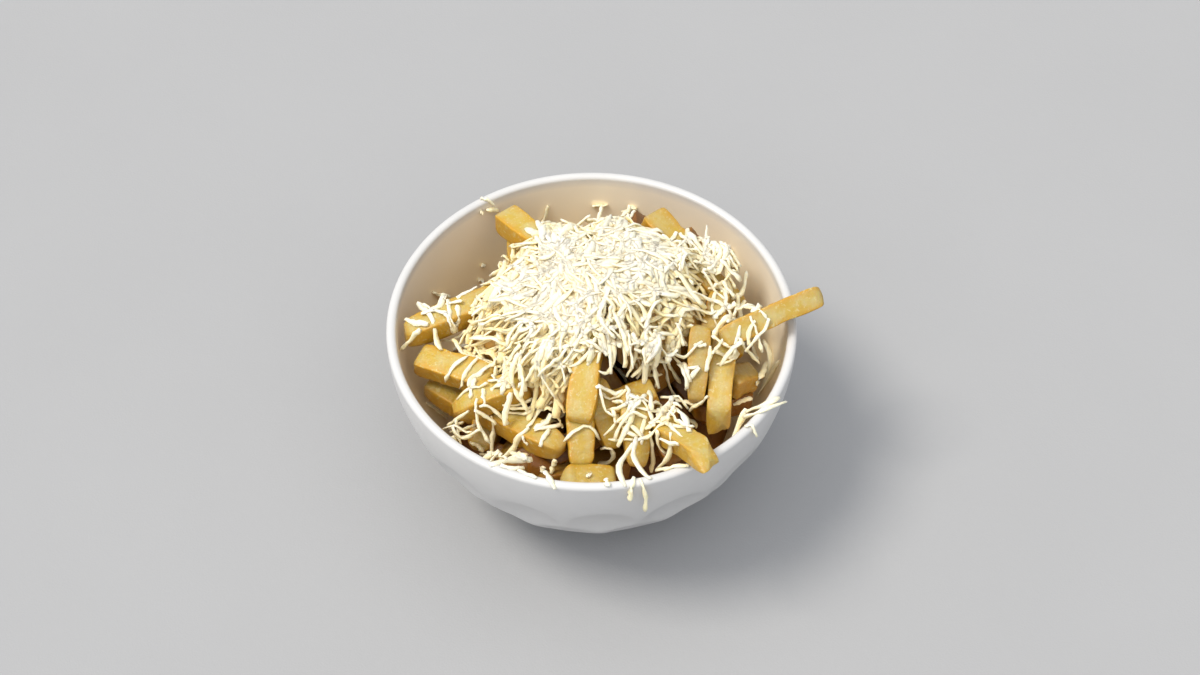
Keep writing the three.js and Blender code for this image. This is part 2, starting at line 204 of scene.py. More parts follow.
def addGrain(tree, shader, place, coarse, fine, share, depth):
    grain = addGroup(tree, "surfaceGrain", place, Coarse=coarse, Fine=fine, Fine_Share=share)
    bump = tree.nodes.new("ShaderNodeBump")
    bump.inputs["Distance"].default_value = depth * mm
    tree.links.new(grain.outputs["Height"], bump.inputs["Height"])
    tree.links.new(bump.outputs["Normal"], shader.inputs["Normal"])


def addMix(tree, factor, low, high):
    blend = tree.nodes.new("ShaderNodeMix")
    blend.data_type = "RGBA"
    for value, key in ((factor, "Factor"), (low, "A"), (high, "B")):
        socket = [s for s in blend.inputs if s.name == key and s.enabled][0]
        if isinstance(value, bpy.types.NodeSocket):
            tree.links.new(value, socket)
        else:
            socket.default_value = value
    return blend.outputs["Result"]


def addRange(tree, value, low, high):
    spread = tree.nodes.new("ShaderNodeMapRange")
    tree.links.new(value, spread.inputs["Value"])
    spread.inputs["To Min"].default_value = low
    spread.inputs["To Max"].default_value = high
    return spread.outputs["Result"]


def addColor(tree, shader, color, mask, gloss):  # the colour, and a gloss that changes with its patches
    tree.links.new(color, shader.inputs["Base Color"])
    tree.links.new(addRange(tree, mask, *gloss), shader.inputs["Roughness"])


def objectSpace(tree):
    return tree.nodes.new("ShaderNodeTexCoord").outputs["Object"]


def ownValue(tree, name, output):
    node = tree.nodes.new("ShaderNodeAttribute")
    node.attribute_name = name
    return node.outputs[output]


# Grain: how fine the soft swells and the grain on them are, the grain's share, and the depth.
glazeLook = {
    "white": (0.64, 0.63, 0.615, 1), "cloud": (0.60, 0.59, 0.575, 1),
    # upper and deep: painted bounce light on the inner wall, warmer further down
    "upper": (0.95, 0.87, 0.73, 1), "deep": (0.99, 0.81, 0.50, 1),
    "gloss": (0.32, 0.44), "grain": (60.0, 700.0, 0.12, 0.25),
}
fryLook = {
    "pale": (0.56, 0.46, 0.17, 1), "gold": (0.55, 0.385, 0.055, 1), "spark": (0.62, 0.515, 0.22, 1),
    # deep: gold of the side faces, partly painted shade; shade: painted shade of the fries that lie
    # deep; crust: browning at the ends
    "deep": (0.56, 0.305, 0.014, 1), "shade": (0.17, 0.055, 0.001, 1), "crust": (0.47, 0.22, 0.009, 1),
    "gloss": (0.34, 0.52), "grain": (330.0, 1300.0, 0.4, 0.5),
}
cheeseLook = {
    "cream": (0.98, 0.87, 0.61, 1), "white": (0.985, 0.92, 0.73, 1),
    "deep": (0.98, 0.79, 0.42, 1), "between": (0.70, 0.40, 0.07, 1),  # deep: painted warm shade in the crevices between shreds; between: the fries below the shreds, and painted shade on the core's lower edge
    "gloss": (0.5, 0.7), "grain": (700.0, 2600.0, 0.4, 0.5),
}
floorLook = {
    "tone": (0.357, 0.356, 0.358, 1), "cloud": (0.347, 0.346, 0.348, 1),
    "grain": (300.0, 1300.0, 0.5, 0.1),
}


def glazeMaterial():  # white, with the hollow painted warmer towards the food: painted bounce light
    material, tree, shader = newMaterial("whiteGlaze", Coat_Weight=0.2, Coat_Roughness=0.25, IOR=1.5)
    place = objectSpace(tree)
    tone = addGroup(tree, "patchyTone", place, Scale=35.0, Softness=0.2,
                    Low=glazeLook["white"], High=glazeLook["cloud"])
    depth = ownValue(tree, "paintedBounceDepth", "Fac")
    warm = addMix(tree, depth, glazeLook["upper"], glazeLook["deep"])
    # the inner wall is painted lighter and warmer than the outer glaze: painted bounce light from the
    # fries
    bounceTinted = addMix(tree, ownValue(tree, "hollow", "Fac"), tone.outputs["Color"], warm)
    addColor(tree, shader, bounceTinted, tone.outputs["Mask"], glazeLook["gloss"])
    addGrain(tree, shader, place, *glazeLook["grain"])
    return material


def fryMaterial():
    material, tree, shader = newMaterial(
        "friedPotato", Subsurface_Weight=0.5, Subsurface_Radius=(1.0, 0.6, 0.15),
        Subsurface_Scale=0.003, Specular_IOR_Level=0.45, Coat_Weight=0.15, Coat_Roughness=0.4)
    grainSpace = ownValue(tree, "grainSpace", "Vector")
    patches = addGroup(tree, "patchyTone", grainSpace, Scale=170.0, Middle=0.5, Softness=0.13,
                       Low=fryLook["pale"], High=fryLook["gold"])
    # the side faces turn gold: browning at the edges, and partly painted shade
    golden = addMix(tree, ownValue(tree, "side", "Fac"), patches.outputs["Color"], fryLook["deep"])
    speckle = addGroup(tree, "patchyTone", grainSpace, Scale=750.0, Middle=0.62, Softness=0.07,
                       Low=golden, High=fryLook["spark"])
    rough = addGroup(tree, "patchyTone", grainSpace, Scale=260.0, Middle=0.52, Softness=0.16,
                     Low=(0.45, 0.45, 0.45, 1), High=(1, 1, 1, 1))
    edge = tree.nodes.new("ShaderNodeMath")
    edge.operation = "MULTIPLY"
    tree.links.new(ownValue(tree, "browned", "Fac"), edge.inputs[0])
    tree.links.new(rough.outputs["Color"], edge.inputs[1])
    # tone mixes in painted shade, for the fries that lie deep
    paintedShadeMix = addMix(tree, ownValue(tree, "tone", "Fac"), speckle.outputs["Color"], fryLook["shade"])
    crusted = addMix(tree, edge.outputs[0], paintedShadeMix, fryLook["crust"])
    addColor(tree, shader, crusted, patches.outputs["Mask"], fryLook["gloss"])
    addGrain(tree, shader, grainSpace, *fryLook["grain"])
    return material


def cheeseMaterial(name, through):  # through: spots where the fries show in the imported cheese
    material, tree, shader = newMaterial(
        name, Subsurface_Weight=0.7, Subsurface_Radius=(0.85, 0.93, 1.0),
        Subsurface_Scale=0.0011, Specular_IOR_Level=0.25)
    place = objectSpace(tree)
    tone = addGroup(tree, "patchyTone", place, Scale=140.0, Softness=0.2,
                    Low=cheeseLook["white"], High=cheeseLook["cream"])
    low = cheeseLook["between" if through else "deep"]
    # sunk mixes in painted shade: warm gold in the crevices of the shreds, brown on the core
    shown = addMix(tree, ownValue(tree, "sunk", "Fac"), tone.outputs["Color"], low)
    if through:
        spots = addGroup(tree, "patchyTone", place, Scale=260.0, Middle=0.6, Softness=0.05,
                         Low=shown, High=cheeseLook["between"])
        shown = spots.outputs["Color"]
    addColor(tree, shader, shown, tone.outputs["Mask"], cheeseLook["gloss"])
    addGrain(tree, shader, place, *cheeseLook["grain"])
    return material


def floorMaterial():
    material, tree, shader = newMaterial("paleFloor", Roughness=0.8)
    tone = addGroup(tree, "patchyTone", objectSpace(tree), Scale=9.0, Softness=0.3,
                    Low=floorLook["tone"], High=floorLook["cloud"])
    tree.links.new(tone.outputs["Color"], shader.inputs["Base Color"])
    addGrain(tree, shader, objectSpace(tree), *floorLook["grain"])
    return material


bowlShape = {
    "height": 66, "radius": 67.5, "wall": 3.2, "lip": 1.3, "outerDepth": 72, "innerDepth": 62,
    "footRadius": 31, "footHeight": 2.2, "footEdge": 0.6, "footRise": 0.9,
    "sides": 480, "footSteps": 4, "outerSteps": 100, "crowding": 1.1, "lipSteps": 12, "innerSteps": 30,
}
flatRows = (  # round flats pressed in: angle below the rim, diameter, turn by a share of a step, hollow
    {"below": 21, "diameter": 22.5, "turn": 0, "dish": 1.2},
    {"below": 33, "diameter": 20.5, "turn": 0.5, "dish": 0.65},
    {"below": 46, "diameter": 17, "turn": 0, "dish": 0.25},
)
flatShape = {"perRow": 16, "start": 2.7, "softness": 0.22, "margin": 8, "lowest": 3}
paintedBounceFade = {"from": 0.6, "over": 3, "deepFrom": 3, "deepOver": 22}  # where the painted bounce light on the inner wall comes in, and where it grows warmer
rim = bowlShape["height"]
wallTop = rim - bowlShape["lip"]
hollowRadius = bowlShape["radius"] - bowlShape["wall"]


def ellipsoidRadius(radius, depth, below):
    return radius * math.sqrt(max(0, 1 - (below / depth) ** 2))


def hollowAt(height):  # inner radius at a height against the rim
    below = -height - bowlShape["lip"]
    return ellipsoidRadius(hollowRadius, bowlShape["innerDepth"], below) if below > 0 else hollowRadius


def bowlProfile():
    b = bowlShape
    profile = [(0, 0), (b["footRadius"] - b["footEdge"], 0)]
    for i in range(1, b["footSteps"] + 1):
        angle = math.pi / 2 * i / b["footSteps"]
        profile.append((b["footRadius"] - b["footEdge"] * (1 - math.sin(angle)),
                        b["footEdge"] * (1 - math.cos(angle))))
    profile.append((b["footRadius"] + 0.1, b["footHeight"]))
    lowest = wallTop - b["footHeight"] - b["footRise"]
    for i in range(b["outerSteps"]):
        below = lowest * (1 - i / b["outerSteps"]) ** b["crowding"]
        profile.append((ellipsoidRadius(b["radius"], b["outerDepth"], below), wallTop - below))
    middle = b["radius"] - b["wall"] / 2
    for i in range(b["lipSteps"] + 1):
        angle = math.pi * i / b["lipSteps"]
        profile.append((middle + b["wall"] / 2 * math.cos(angle), wallTop + b["lip"] * math.sin(angle)))
    for i in range(1, b["innerSteps"] + 1):
        angle = math.pi / 2 * i / b["innerSteps"]
        radius = hollowRadius * math.cos(angle) if i < b["innerSteps"] else 0
        profile.append((radius, wallTop - b["innerDepth"] * math.sin(angle)))
    return profile


def spinProfile(name, profile, sides):
    deselectAll()
    bpy.ops.mesh.primitive_plane_add(size=1 * mm, location=(0, 0, 0))
    piece = bpy.context.object
    piece.name = name
    startEdit()
    selectAll()
    bpy.ops.mesh.merge(type="CENTER")
    radius, height = 0, 0
    for nextRadius, nextHeight in profile[1:]:
        step = ((nextRadius - radius) * mm, 0, (nextHeight - height) * mm)
        bpy.ops.mesh.extrude_region_move(TRANSFORM_OT_translate={"value": step})
        radius, height = nextRadius, nextHeight
    selectAll()
    bpy.ops.mesh.spin(steps=sides, angle=2 * math.pi, center=(0, 0, 0), axis=(0, 0, 1))
    selectAll()
    bpy.ops.mesh.remove_doubles(threshold=0.01 * mm)
    bpy.ops.mesh.normals_make_consistent(inside=False)
    bpy.ops.object.mode_set(mode="OBJECT")
    return piece


def pressFlats(piece):  # moves the outer wall's points behind each flat, with a soft edge
    count = len(piece.data.vertices)
    points = np.empty(count * 3)
    piece.data.vertices.foreach_get("co", points)
    points = points.reshape(-1, 3) / mm
    reach = np.hypot(points[:, 0], points[:, 1])
    below = np.clip(wallTop - points[:, 2], 0, None)
    shell = bowlShape["radius"] * np.sqrt(np.clip(1 - (below / bowlShape["outerDepth"]) ** 2, 0, 1))
    heights = points[:, 2]
    outer = (np.abs(reach - shell) < 0.1) & (heights < wallTop) & (heights > flatShape["lowest"])
    for row in flatRows:
        angle = math.radians(row["below"])
        half = row["diameter"] / 2
        for i in range(flatShape["perRow"]):
            step = 2 * math.pi / flatShape["perRow"]
            turn = math.radians(flatShape["start"]) + (i + row["turn"]) * step
            heading = np.array([math.sin(turn), -math.cos(turn), 0])
            place = heading * bowlShape["radius"] * math.cos(angle)
            place[2] = wallTop - bowlShape["outerDepth"] * math.sin(angle)
            outward = heading * math.cos(angle) / bowlShape["radius"]
            outward[2] = -math.sin(angle) / bowlShape["outerDepth"]
            outward /= np.linalg.norm(outward)
            sink = row["diameter"] ** 2 / (8 * bowlShape["radius"])
            offset = points - (place - outward * sink)
            height = offset @ outward
            across = np.linalg.norm(offset - np.outer(height, outward), axis=1)
            near = outer & (across < half + flatShape["margin"])
            share = np.clip(across[near] / half, 0, 1)
            floorOf = -row["dish"] * (1 - share ** 2)
            gap = (height[near] - floorOf) / flatShape["softness"]
            lower = height[near] - flatShape["softness"] * np.logaddexp(0, gap)
            points[near] += np.outer(lower - height[near], outward)
    piece.data.vertices.foreach_set("co", (points * mm).ravel())
    piece.data.update()


def makeBowl():
    bowl = spinProfile("servingBowl", bowlProfile(), bowlShape["sides"])
    pressFlats(bowl)
    work(bowl)
    bpy.ops.object.shade_smooth_by_angle(angle=math.radians(40))
    markPaintedBounce(bowl)
    finishPiece(bowl, "bowl", glazeMaterial())
    return bowl


def markPaintedBounce(piece):  # 1 on the inner wall, and how deep each point lies in it: where the painted bounce light goes
    fade = paintedBounceFade
    inside, depth = [], []
    for v in piece.data.vertices:
        x, y, z = v.co / mm
        below = rim - z
        isInner = math.hypot(x, y) < hollowAt(-below) + 0.4 and z > 1
        inside.append(min(1, max(0, (below - fade["from"]) / fade["over"])) if isInner else 0)
        depth.append(min(1, max(0, (below - fade["deepFrom"]) / fade["deepOver"])))
    giveValues(piece.data, "hollow", inside)
    giveValues(piece.data, "paintedBounceDepth", depth)


fryShape = {
    "length": 60, "width": 9, "height": 8.5, "cuts": 13, "uneven": 0.5, "tip": 9,
    "ringSize": (0.96, 1.03), "ringShift": 0.1, "corner": 0.38, "inset": 0.7, "bulge": 0.3,
    "swell": 0.05, "taper": 0.04, "sway": 0.6, "lumpSize": 9, "lumpStep": 2,
}
fryKinds = {  # each end: size of the end face, slant of the cut; then the rounding of the corners
    "blunt": ((0.84, 14), (0.8, 8), 0.45),
    "slanted": ((0.82, -12), (0.86, 38), 0.5),
    "pointed": ((0.32, 12), (0.8, 6), 0.7),
    "narrow": ((0.55, 8), (0.5, -8), 0.7),
    "wedge": ((0.75, 30), (0.5, 10), 0.6),
    "rounded": ((0.66, 10), (0.62, -12), 0.8),
}

# Fries in the open: both ends, width, height, roll, kind, painted shade (more for those lying deep),
# bend.
openFries = (
    ((-31, 50, -4), (-8, 21, 5), 9.2, 8.5, 0, "blunt", 0.0, 0.6),
    ((-26, 48, -10), (-23, 17, -10), 8.5, 9, 0, "rounded", 0.2, 0),
    ((19, 43, 4), (36, 22, 1), 9.5, 9, 0, "blunt", 0.1, 0.5),
    ((76, 5, 8), (42, -9, 2), 7.6, 8, -35, "blunt", 0.05, 0.8),
    ((-62, -1, -6), (-18, 15, 0), 9, 8.5, 0, "rounded", 0.05, 1.2),
    ((-40, 15, -9), (-38, 3, -12), 9, 8, 0, "rounded", 0.1, 0),
    ((-58, -6, -12), (-32, -19, -8), 9.5, 8, 10, "blunt", 0.0, 0.5),
    ((-55, -9, -22), (-35, -20, -26), 9, 8, 0, "narrow", 0.15, 0.5),
    ((-45, -28, -12), (-21, -23, -4), 9, 9, 0, "pointed", 0.0, 0.8),
    ((-40, -19, -19), (-9, -43, -13), 9, 8, 0, "narrow", 0.1, 1.0),
    ((-31, -14, -22), (-37, -31, -30), 9, 9, 0, "rounded", 0.25, 0),
    ((1, -7, 10), (-4, -39, -4), 9.2, 8, 0, "blunt", 0.0, 1.0),
    ((-4, -31, -5), (-3, -48, -15), 8.5, 8, 0, "rounded", 0.05, 0),
    ((-10, -54, -17), (8, -53, -17), 9.5, 9, 0, "pointed", 0.1, 0),
    ((0, -22, -2), (7, -41, -15), 8.5, 8.5, 0, "rounded", 0.15, 0.5),
    ((13, -30, 1), (15, -49, -14), 9, 8, 0, "rounded", 0.1, 0.8),
    ((22, -38, -7), (37, -63, 9), 8.2, 7.4, 0, "slanted", 0.0, 0.4),
    ((44, -1, -4), (41, -32, -18), 8.4, 8, 0, "slanted", 0.0, 0.7),
    ((45, -15, -14), (54, -10, -16), 8.5, 8, 0, "rounded", 0.3, 0),
    ((36, -1, 0), (34, -24, -13), 7, 9, 0, "blunt", 0.2, 0.5),
    ((5, -30, -10), (21, -25, -6), 9, 8.5, 0, "blunt", 0.2, 0),
    ((-3, -7, -6), (7, -19, -17), 9, 9, 0, "rounded", 0.8, 0),
    ((33, -19, -22), (53, -12, -23), 9, 9, 0, "narrow", 0.8, 0),
    ((43, 14, -2), (39, -3, -9), 7.5, 8.5, 0, "rounded", 0.2, 0.5),
    ((34, 22, 0), (49, 12, -11), 8.5, 8.5, 0, "blunt", 0.15, 0.5),
    ((38, -1, -6), (49, -2, -14), 8.5, 8.5, 0, "rounded", 0.15, 0),
)
lowerShape = {  # fries that lie deeper, in two layers round the heap; not all tries find room
    "seed": 7, "tries": 60, "width": 9, "height": 8.4, "shortest": 24, "nearest": 20, "spread": 29,
    "half": (15, 28), "tilt": 8, "roll": 90,
    "lift": 3, "layerStep": 6, "wallRoom": 7.5, "wallDrop": 5,
    "openSides": ((105, 178, 28), (-52, -20, 40)), "low": -33,  # bearings, how far out, how high
}
carryShape = {"atWall": -15, "slope": 1.6, "bite": 1.2}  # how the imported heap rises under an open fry
heapShape = {"top": 10, "fall": 24, "reach": 55, "bedDepth": 15}
pileShape = {  # hidden fries: where and how they are let down, and how much room each takes
    "tries": 4000, "count": 90, "reach": 46, "half": (11, 25), "steps": 15, "lane": 3, "steepest": 0.6,
    "axis": 3.6, "thick": 7.6, "wallGap": 5, "above": 3.0, "width": 9, "height": 8.3, "roll": 20,
    "openBack": {"bearing": 105, "away": 30, "top": -27},
}
bedShape = {"sides": 96, "rings": 16, "edge": -42.0, "rise": 14, "lumps": 1.5, "gap": 0.7}


def isLong(edge):
    return abs(edge.verts[0].co.x - edge.verts[1].co.x) > mm


def modelFry(kind, index):
    s = fryShape
    size = (s["length"] * mm, s["width"] * mm, s["height"] * mm)
    deselectAll()
    bpy.ops.mesh.primitive_cube_add(size=1, location=(0, 0, 0))
    fry = bpy.context.object
    fry.scale = size
    bpy.ops.object.transform_apply(location=False, rotation=False, scale=True)
    startEdit("EDGE")
    pick("edges", isLong)
    bpy.ops.mesh.subdivide(number_cuts=s["cuts"])
    for i in range(s["cuts"] + 2):  # cut by hand: no ring like the next
        place = (i / (s["cuts"] + 1) - 0.5) * size[0]
        pick("verts", lambda v: abs(v.co.x - place) < 0.5 * mm)
        wide, high = dice.uniform(*s["ringSize"], 2)
        bpy.ops.transform.resize(value=(1, wide, high), center_override=(place, 0, 0))
        bpy.ops.transform.translate(value=(0, *(dice.normal(0, s["ringShift"], 2) * mm)))
    wide, high = size[1] * s["corner"], size[2] * s["corner"]
    pick("edges", lambda edge: isLong(edge) and all(
        abs(v.co.y) > wide and abs(v.co.z) > high for v in edge.verts))
    bpy.ops.mesh.bevel(offset=fryKinds[kind][2] * mm, segments=2, profile=0.6, affect="EDGES")
    for sign, (narrow, slant) in zip((-1, 1), fryKinds[kind][:2]):
        tip = sign * size[0] / 2
        for inward, share in ((0, narrow), (1, (2 + narrow) / 3 + 0.04)):
            place = tip - sign * inward * size[0] / (s["cuts"] + 1)
            pick("verts", lambda v: abs(v.co.x - place) < 0.5 * mm)
            bpy.ops.transform.resize(value=(1, share, share), center_override=(place, 0, 0))
        if slant:
            lean = math.radians(slant)
            selectAll()
            bpy.ops.mesh.bisect(
                plane_co=(tip - sign * abs(math.tan(lean)) * size[2] * 0.42 * narrow, 0, 0),
                plane_no=(sign * math.cos(lean), 0.25 * math.sin(lean), math.sin(lean)),
                use_fill=True, clear_outer=True)
        pick("faces", lambda face: face.normal.x * sign > 0.6)
        bpy.ops.mesh.inset(thickness=s["inset"] * mm)
        bpy.ops.transform.translate(value=(sign * s["bulge"] * mm, 0, 0))
    bpy.ops.object.mode_set(mode="OBJECT")
    smooth = fry.modifiers.new("smooth", "SUBSURF")
    smooth.levels = smooth.render_levels = 1
    texture = bpy.data.textures.new("uneven", "CLOUDS")
    texture.noise_scale = (s["lumpSize"] + s["lumpStep"] * index) * mm
    swell = fry.modifiers.new("swell", "DISPLACE")
    swell.texture = texture
    swell.strength = s["uneven"] * mm
    swell.mid_level = 0.5
    applyAll(fry)
    points = np.array([v.co for v in fry.data.vertices]) / mm
    for side in (points[:, 0] < 0, points[:, 0] >= 0):  # each end out to its full length
        points[side, 0] *= (s["length"] / 2 + 0.2) / np.abs(points[side, 0]).max()
    faces = [tuple(face.vertices) for face in fry.data.polygons]
    bpy.data.objects.remove(fry)
    return points, faces


# How deep the crust reaches from the ends, its fall and most; where across a fry its side begins.
brownShape = {"reach": 4, "fall": 1.4, "most": 0.85, "sideFrom": 0.42, "sideOver": 0.5}


def browning(points):  # crust at the ends; gold down the sides, partly real browning at the edges and partly painted shade on the side faces
    b = brownShape
    half, halfWidth = fryShape["length"] / 2, fryShape["width"] / 2
    ends = np.clip(1 - (half - np.abs(points[:, 0])) / b["reach"], 0, 1) ** b["fall"]
    sides = np.clip((np.abs(points[:, 1]) / halfWidth - b["sideFrom"]) / b["sideOver"], 0, 1)
    return b["most"] * ends, sides


def joinCopies(copies):  # stacks the copies' points, faces and values
    count = 0
    faces = []
    for points, own in copies:
        faces += [tuple(i + count for i in face) for face in own]
        count += len(points)
    return np.vstack([points for points, own in copies]), faces


def fryFrame(start, end, roll):
    along = np.subtract(end, start).astype(float)
    length = np.linalg.norm(along)
    along /= length
    level = np.cross((0, 0, 1), along)
    level /= np.linalg.norm(level)
    up = np.cross(along, level)
    turn = math.radians(roll)
    side = level * math.cos(turn) + up * math.sin(turn)
    return length, along, side, np.cross(along, side)


def laidFry(variant, start, end, width, height, roll, bend):
    s = fryShape
    length, along, side, top = fryFrame(start, end, roll)
    local = variant[0]
    stretch = np.clip(local[:, 0] / (s["length"] / 2 - s["tip"]), -1, 1)
    if length < 2 * s["tip"] + 4:
        travel = local[:, 0] * length / s["length"]
    else:  # the ends keep their form
        travel = local[:, 0] + stretch * (length - s["length"]) / 2
    share = 2 * travel / length
    swell = 1 + s["swell"] * np.sin(share * 2.3 + dice.uniform(0, 6))
    swell += dice.uniform(-s["taper"], s["taper"]) * share
    sway = dice.uniform(-s["sway"], s["sway"]) * (share ** 2 - 0.4)
    arch = bend * (0.5 - share ** 2)
    middle = (np.array(start) + np.array(end)) / 2 + (0, 0, rim)
    across = local[:, 1] * swell * width / s["width"] + sway
    rise = local[:, 2] * swell * height / s["height"] + arch
    points = middle + np.outer(travel, along) + np.outer(across, side) + np.outer(rise, top)
    return points, np.column_stack([travel, across, rise])


def baseHeight(x, y):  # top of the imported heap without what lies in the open
    return -heapShape["top"] - heapShape["fall"] * (np.hypot(x, y) / heapShape["reach"]) ** 2


def passing(row, x, y):  # where an open fry's middle line passes: the distance sideways, its height
    (ax, ay, az), (bx, by, bz) = row[:2]
    dx, dy = bx - ax, by - ay
    part = min(1, max(0, ((x - ax) * dx + (y - ay) * dy) / (dx * dx + dy * dy)))
    return math.hypot(x - ax - part * dx, y - ay - part * dy), az + part * (bz - az)


def carriedHeight(x, y):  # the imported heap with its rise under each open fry
    c = carryShape
    highest = c["atWall"] + max(0, heapShape["reach"] - math.hypot(x, y)) * 2
    height = float(baseHeight(x, y))
    for row in openFries:
        away, level = passing(row, x, y)
        carried = level - row[3] / 2 + c["bite"] - c["slope"] * max(0, away - row[2] / 3)
        height = max(height, min(highest, carried))
    return height


def lowerCeiling(x, y):  # what a deeper fry's middle line stays under
    bearing, away = math.degrees(math.atan2(y, x)), math.hypot(x, y)
    for first, last, beyond in lowerShape["openSides"]:
        if first < bearing < last and away > beyond:
            return lowerShape["low"] + max(0, 50 - away) * 0.25
    return carriedHeight(x, y) + lowerShape["lift"] + lowerShape["layerStep"]


def pullInward(end):  # an end of a fry moves towards the middle until it is clear of the wall
    room = hollowAt(end[2] - lowerShape["wallDrop"]) - lowerShape["wallRoom"]
    reach = math.hypot(end[0], end[1])
    if reach > room:
        end[:2] *= room / reach


def settle(ends):  # lowers a fry until it is clear of the open ones; false if it is too short or hidden
    low = lowerShape
    for turn in range(2):  # a lower fry has less room, so it settles twice
        for end in ends:
            pullInward(end)
        drop, rise = 0, -999
        for part in np.linspace(0, 1, 6):
            x, y, z = ends[0] + part * (ends[1] - ends[0])
            for row in openFries:
                away, level = passing(row, x, y)
                if away <= (row[2] + low["width"]) / 2 - 1:
                    drop = max(drop, z - level + (row[3] + low["width"]) / 2 - carryShape["bite"])
            drop = max(drop, z - lowerCeiling(x, y))
            rise = max(rise, z - carriedHeight(x, y))
        ends[:, 2] -= drop
        rise -= drop
    for end in ends:
        pullInward(end)
    return np.linalg.norm(ends[1] - ends[0]) > low["shortest"] and rise > 0


def evenDraws(seed):  # repeatable draws between 0 and 1
    while True:
        seed = (seed * 1664525 + 1013904223) % 4294967296
        yield seed / 4294967296


def lowerFries():  # both ends and roll of each
    low = lowerShape
    draws = evenDraws(low["seed"])
    rows = []
    for i in range(low["tries"]):
        bearing = next(draws) * 2 * math.pi
        away = low["nearest"] + low["spread"] * math.sqrt(next(draws))
        heading = next(draws) * math.pi
        half = low["half"][0] + (low["half"][1] - low["half"][0]) * next(draws)
        tilt, roll = low["tilt"] * (next(draws) - 0.5), low["roll"] * (next(draws) - 0.5)
        x, y = away * math.cos(bearing), away * math.sin(bearing)
        height = carriedHeight(x, y) + low["lift"] + low["layerStep"] * (i % 2)
        reach = np.array([half * math.cos(heading), half * math.sin(heading), tilt])
        ends = np.array([(x, y, height) - reach, (x, y, height) + reach])
        if settle(ends):
            rows.append((ends[0], ends[1], roll))
    return rows


# Height maps, for letting things come to rest.
gridStep = 0.8
gridCount = 181
axis = (np.arange(gridCount) - gridCount // 2) * gridStep
gridX, gridY = np.meshgrid(axis, axis, indexing="ij")


def cells(x, y):
    column = np.clip(np.round(np.asarray(x) / gridStep).astype(int) + gridCount // 2, 0, gridCount - 1)
    row = np.clip(np.round(np.asarray(y) / gridStep).astype(int) + gridCount // 2, 0, gridCount - 1)
    return column, row


def shadowOf(points, faces, fromAbove=True):  # height map of a mesh seen from above or below
    tree = BVHTree.FromPolygons([Vector(p) for p in points], faces)
    ways = (500.0, Vector((0, 0, -1))) if fromAbove else (-500.0, Vector((0, 0, 1)))
    heights = np.full((gridCount, gridCount), -999.0 if fromAbove else 999.0)
    for i in range(gridCount):
        for j in range(gridCount):
            hit = tree.ray_cast(Vector((axis[i], axis[j], ways[0])), ways[1])[0]
            if hit is not None:
                heights[i, j] = hit.z - rim
    return heights


def restLine(travel, heights):  # the lowest line that rests on the heights on both sides of the middle
    left = [i for i in range(len(travel)) if travel[i] < 0]
    right = [i for i in range(len(travel)) if travel[i] >= 0]
    best = None
    for i in left:
        for j in right:
            slope = (heights[j] - heights[i]) / (travel[j] - travel[i])
            base = heights[i] - slope * travel[i]
            if np.all(heights <= base + slope * travel + 0.01) and (best is None or base > best[0]):
                best = (base, slope)
    return best


def pileFries(ceiling):  # hidden layers, each fry let down on what already lies there
    p = pileShape
    wall = np.sqrt(np.clip(1 - (np.hypot(gridX, gridY) / hollowRadius) ** 2, 0, 1))
    pile = np.maximum(-bowlShape["lip"] - bowlShape["innerDepth"] * wall + 0.6,
                      baseHeight(gridX, gridY) - heapShape["bedDepth"])
    laid = []
    for attempt in range(p["tries"]):
        if len(laid) >= p["count"]:
            break
        turn, away = dice.uniform(0, 6.283), p["reach"] * math.sqrt(dice.uniform())
        heading, half = dice.uniform(0, 3.1416), dice.uniform(*p["half"])
        x, y = away * math.cos(turn), away * math.sin(turn)
        along, side = (math.cos(heading), math.sin(heading)), (-math.sin(heading), math.cos(heading))
        travel = np.linspace(-half, half, p["steps"])
        xs, ys = x + travel * along[0], y + travel * along[1]
        if max(math.hypot(xs[0], ys[0]), math.hypot(xs[-1], ys[-1])) > hollowRadius - 8:
            continue
        lanes = [cells(xs + k * side[0], ys + k * side[1]) for k in (-p["lane"], 0, p["lane"])]
        line = restLine(travel, np.max([pile[lane] for lane in lanes], axis=0))
        if line is None or abs(line[1]) > p["steepest"]:
            continue
        middle = line[0] + line[1] * travel + p["axis"]
        room = [hollowAt(middle[k] - 4) - p["wallGap"] - math.hypot(xs[k], ys[k]) for k in (0, -1)]
        above = middle + 4 - np.min([ceiling[lane] for lane in lanes], axis=0)
        if np.percentile(above, 75) > p["above"] or min(room) < 0:
            continue
        roll = dice.uniform(-p["roll"], p["roll"])
        laid.append(((xs[0], ys[0], middle[0]), (xs[-1], ys[-1], middle[-1]), roll))
        for k in np.arange(-4, 4.1, gridStep):
            steps = np.linspace(-half, half, int(half * 3))
            lane = cells(x + steps * along[0] + k * side[0], y + steps * along[1] + k * side[1])
            np.maximum.at(pile, lane, line[0] + line[1] * steps + p["thick"])
    print("pile:", len(laid), "fries after", attempt + 1, "tries")
    return laid


def doubleDisc(name, sides, rings):  # a closed flat drum with rings of points on both faces
    deselectAll()
    bpy.ops.mesh.primitive_circle_add(vertices=sides, radius=1, fill_type="NGON", location=(0, 0, 0))
    disc = bpy.context.object
    disc.name = name
    startEdit("FACE")
    selectAll()
    for i in range(rings - 1):
        bpy.ops.mesh.inset(thickness=1 / rings)
    selectAll()
    bpy.ops.mesh.extrude_region_move(TRANSFORM_OT_translate={"value": (0, 0, -1)})
    selectAll()
    bpy.ops.mesh.normals_make_consistent(inside=False)
    bpy.ops.object.mode_set(mode="OBJECT")
    return disc


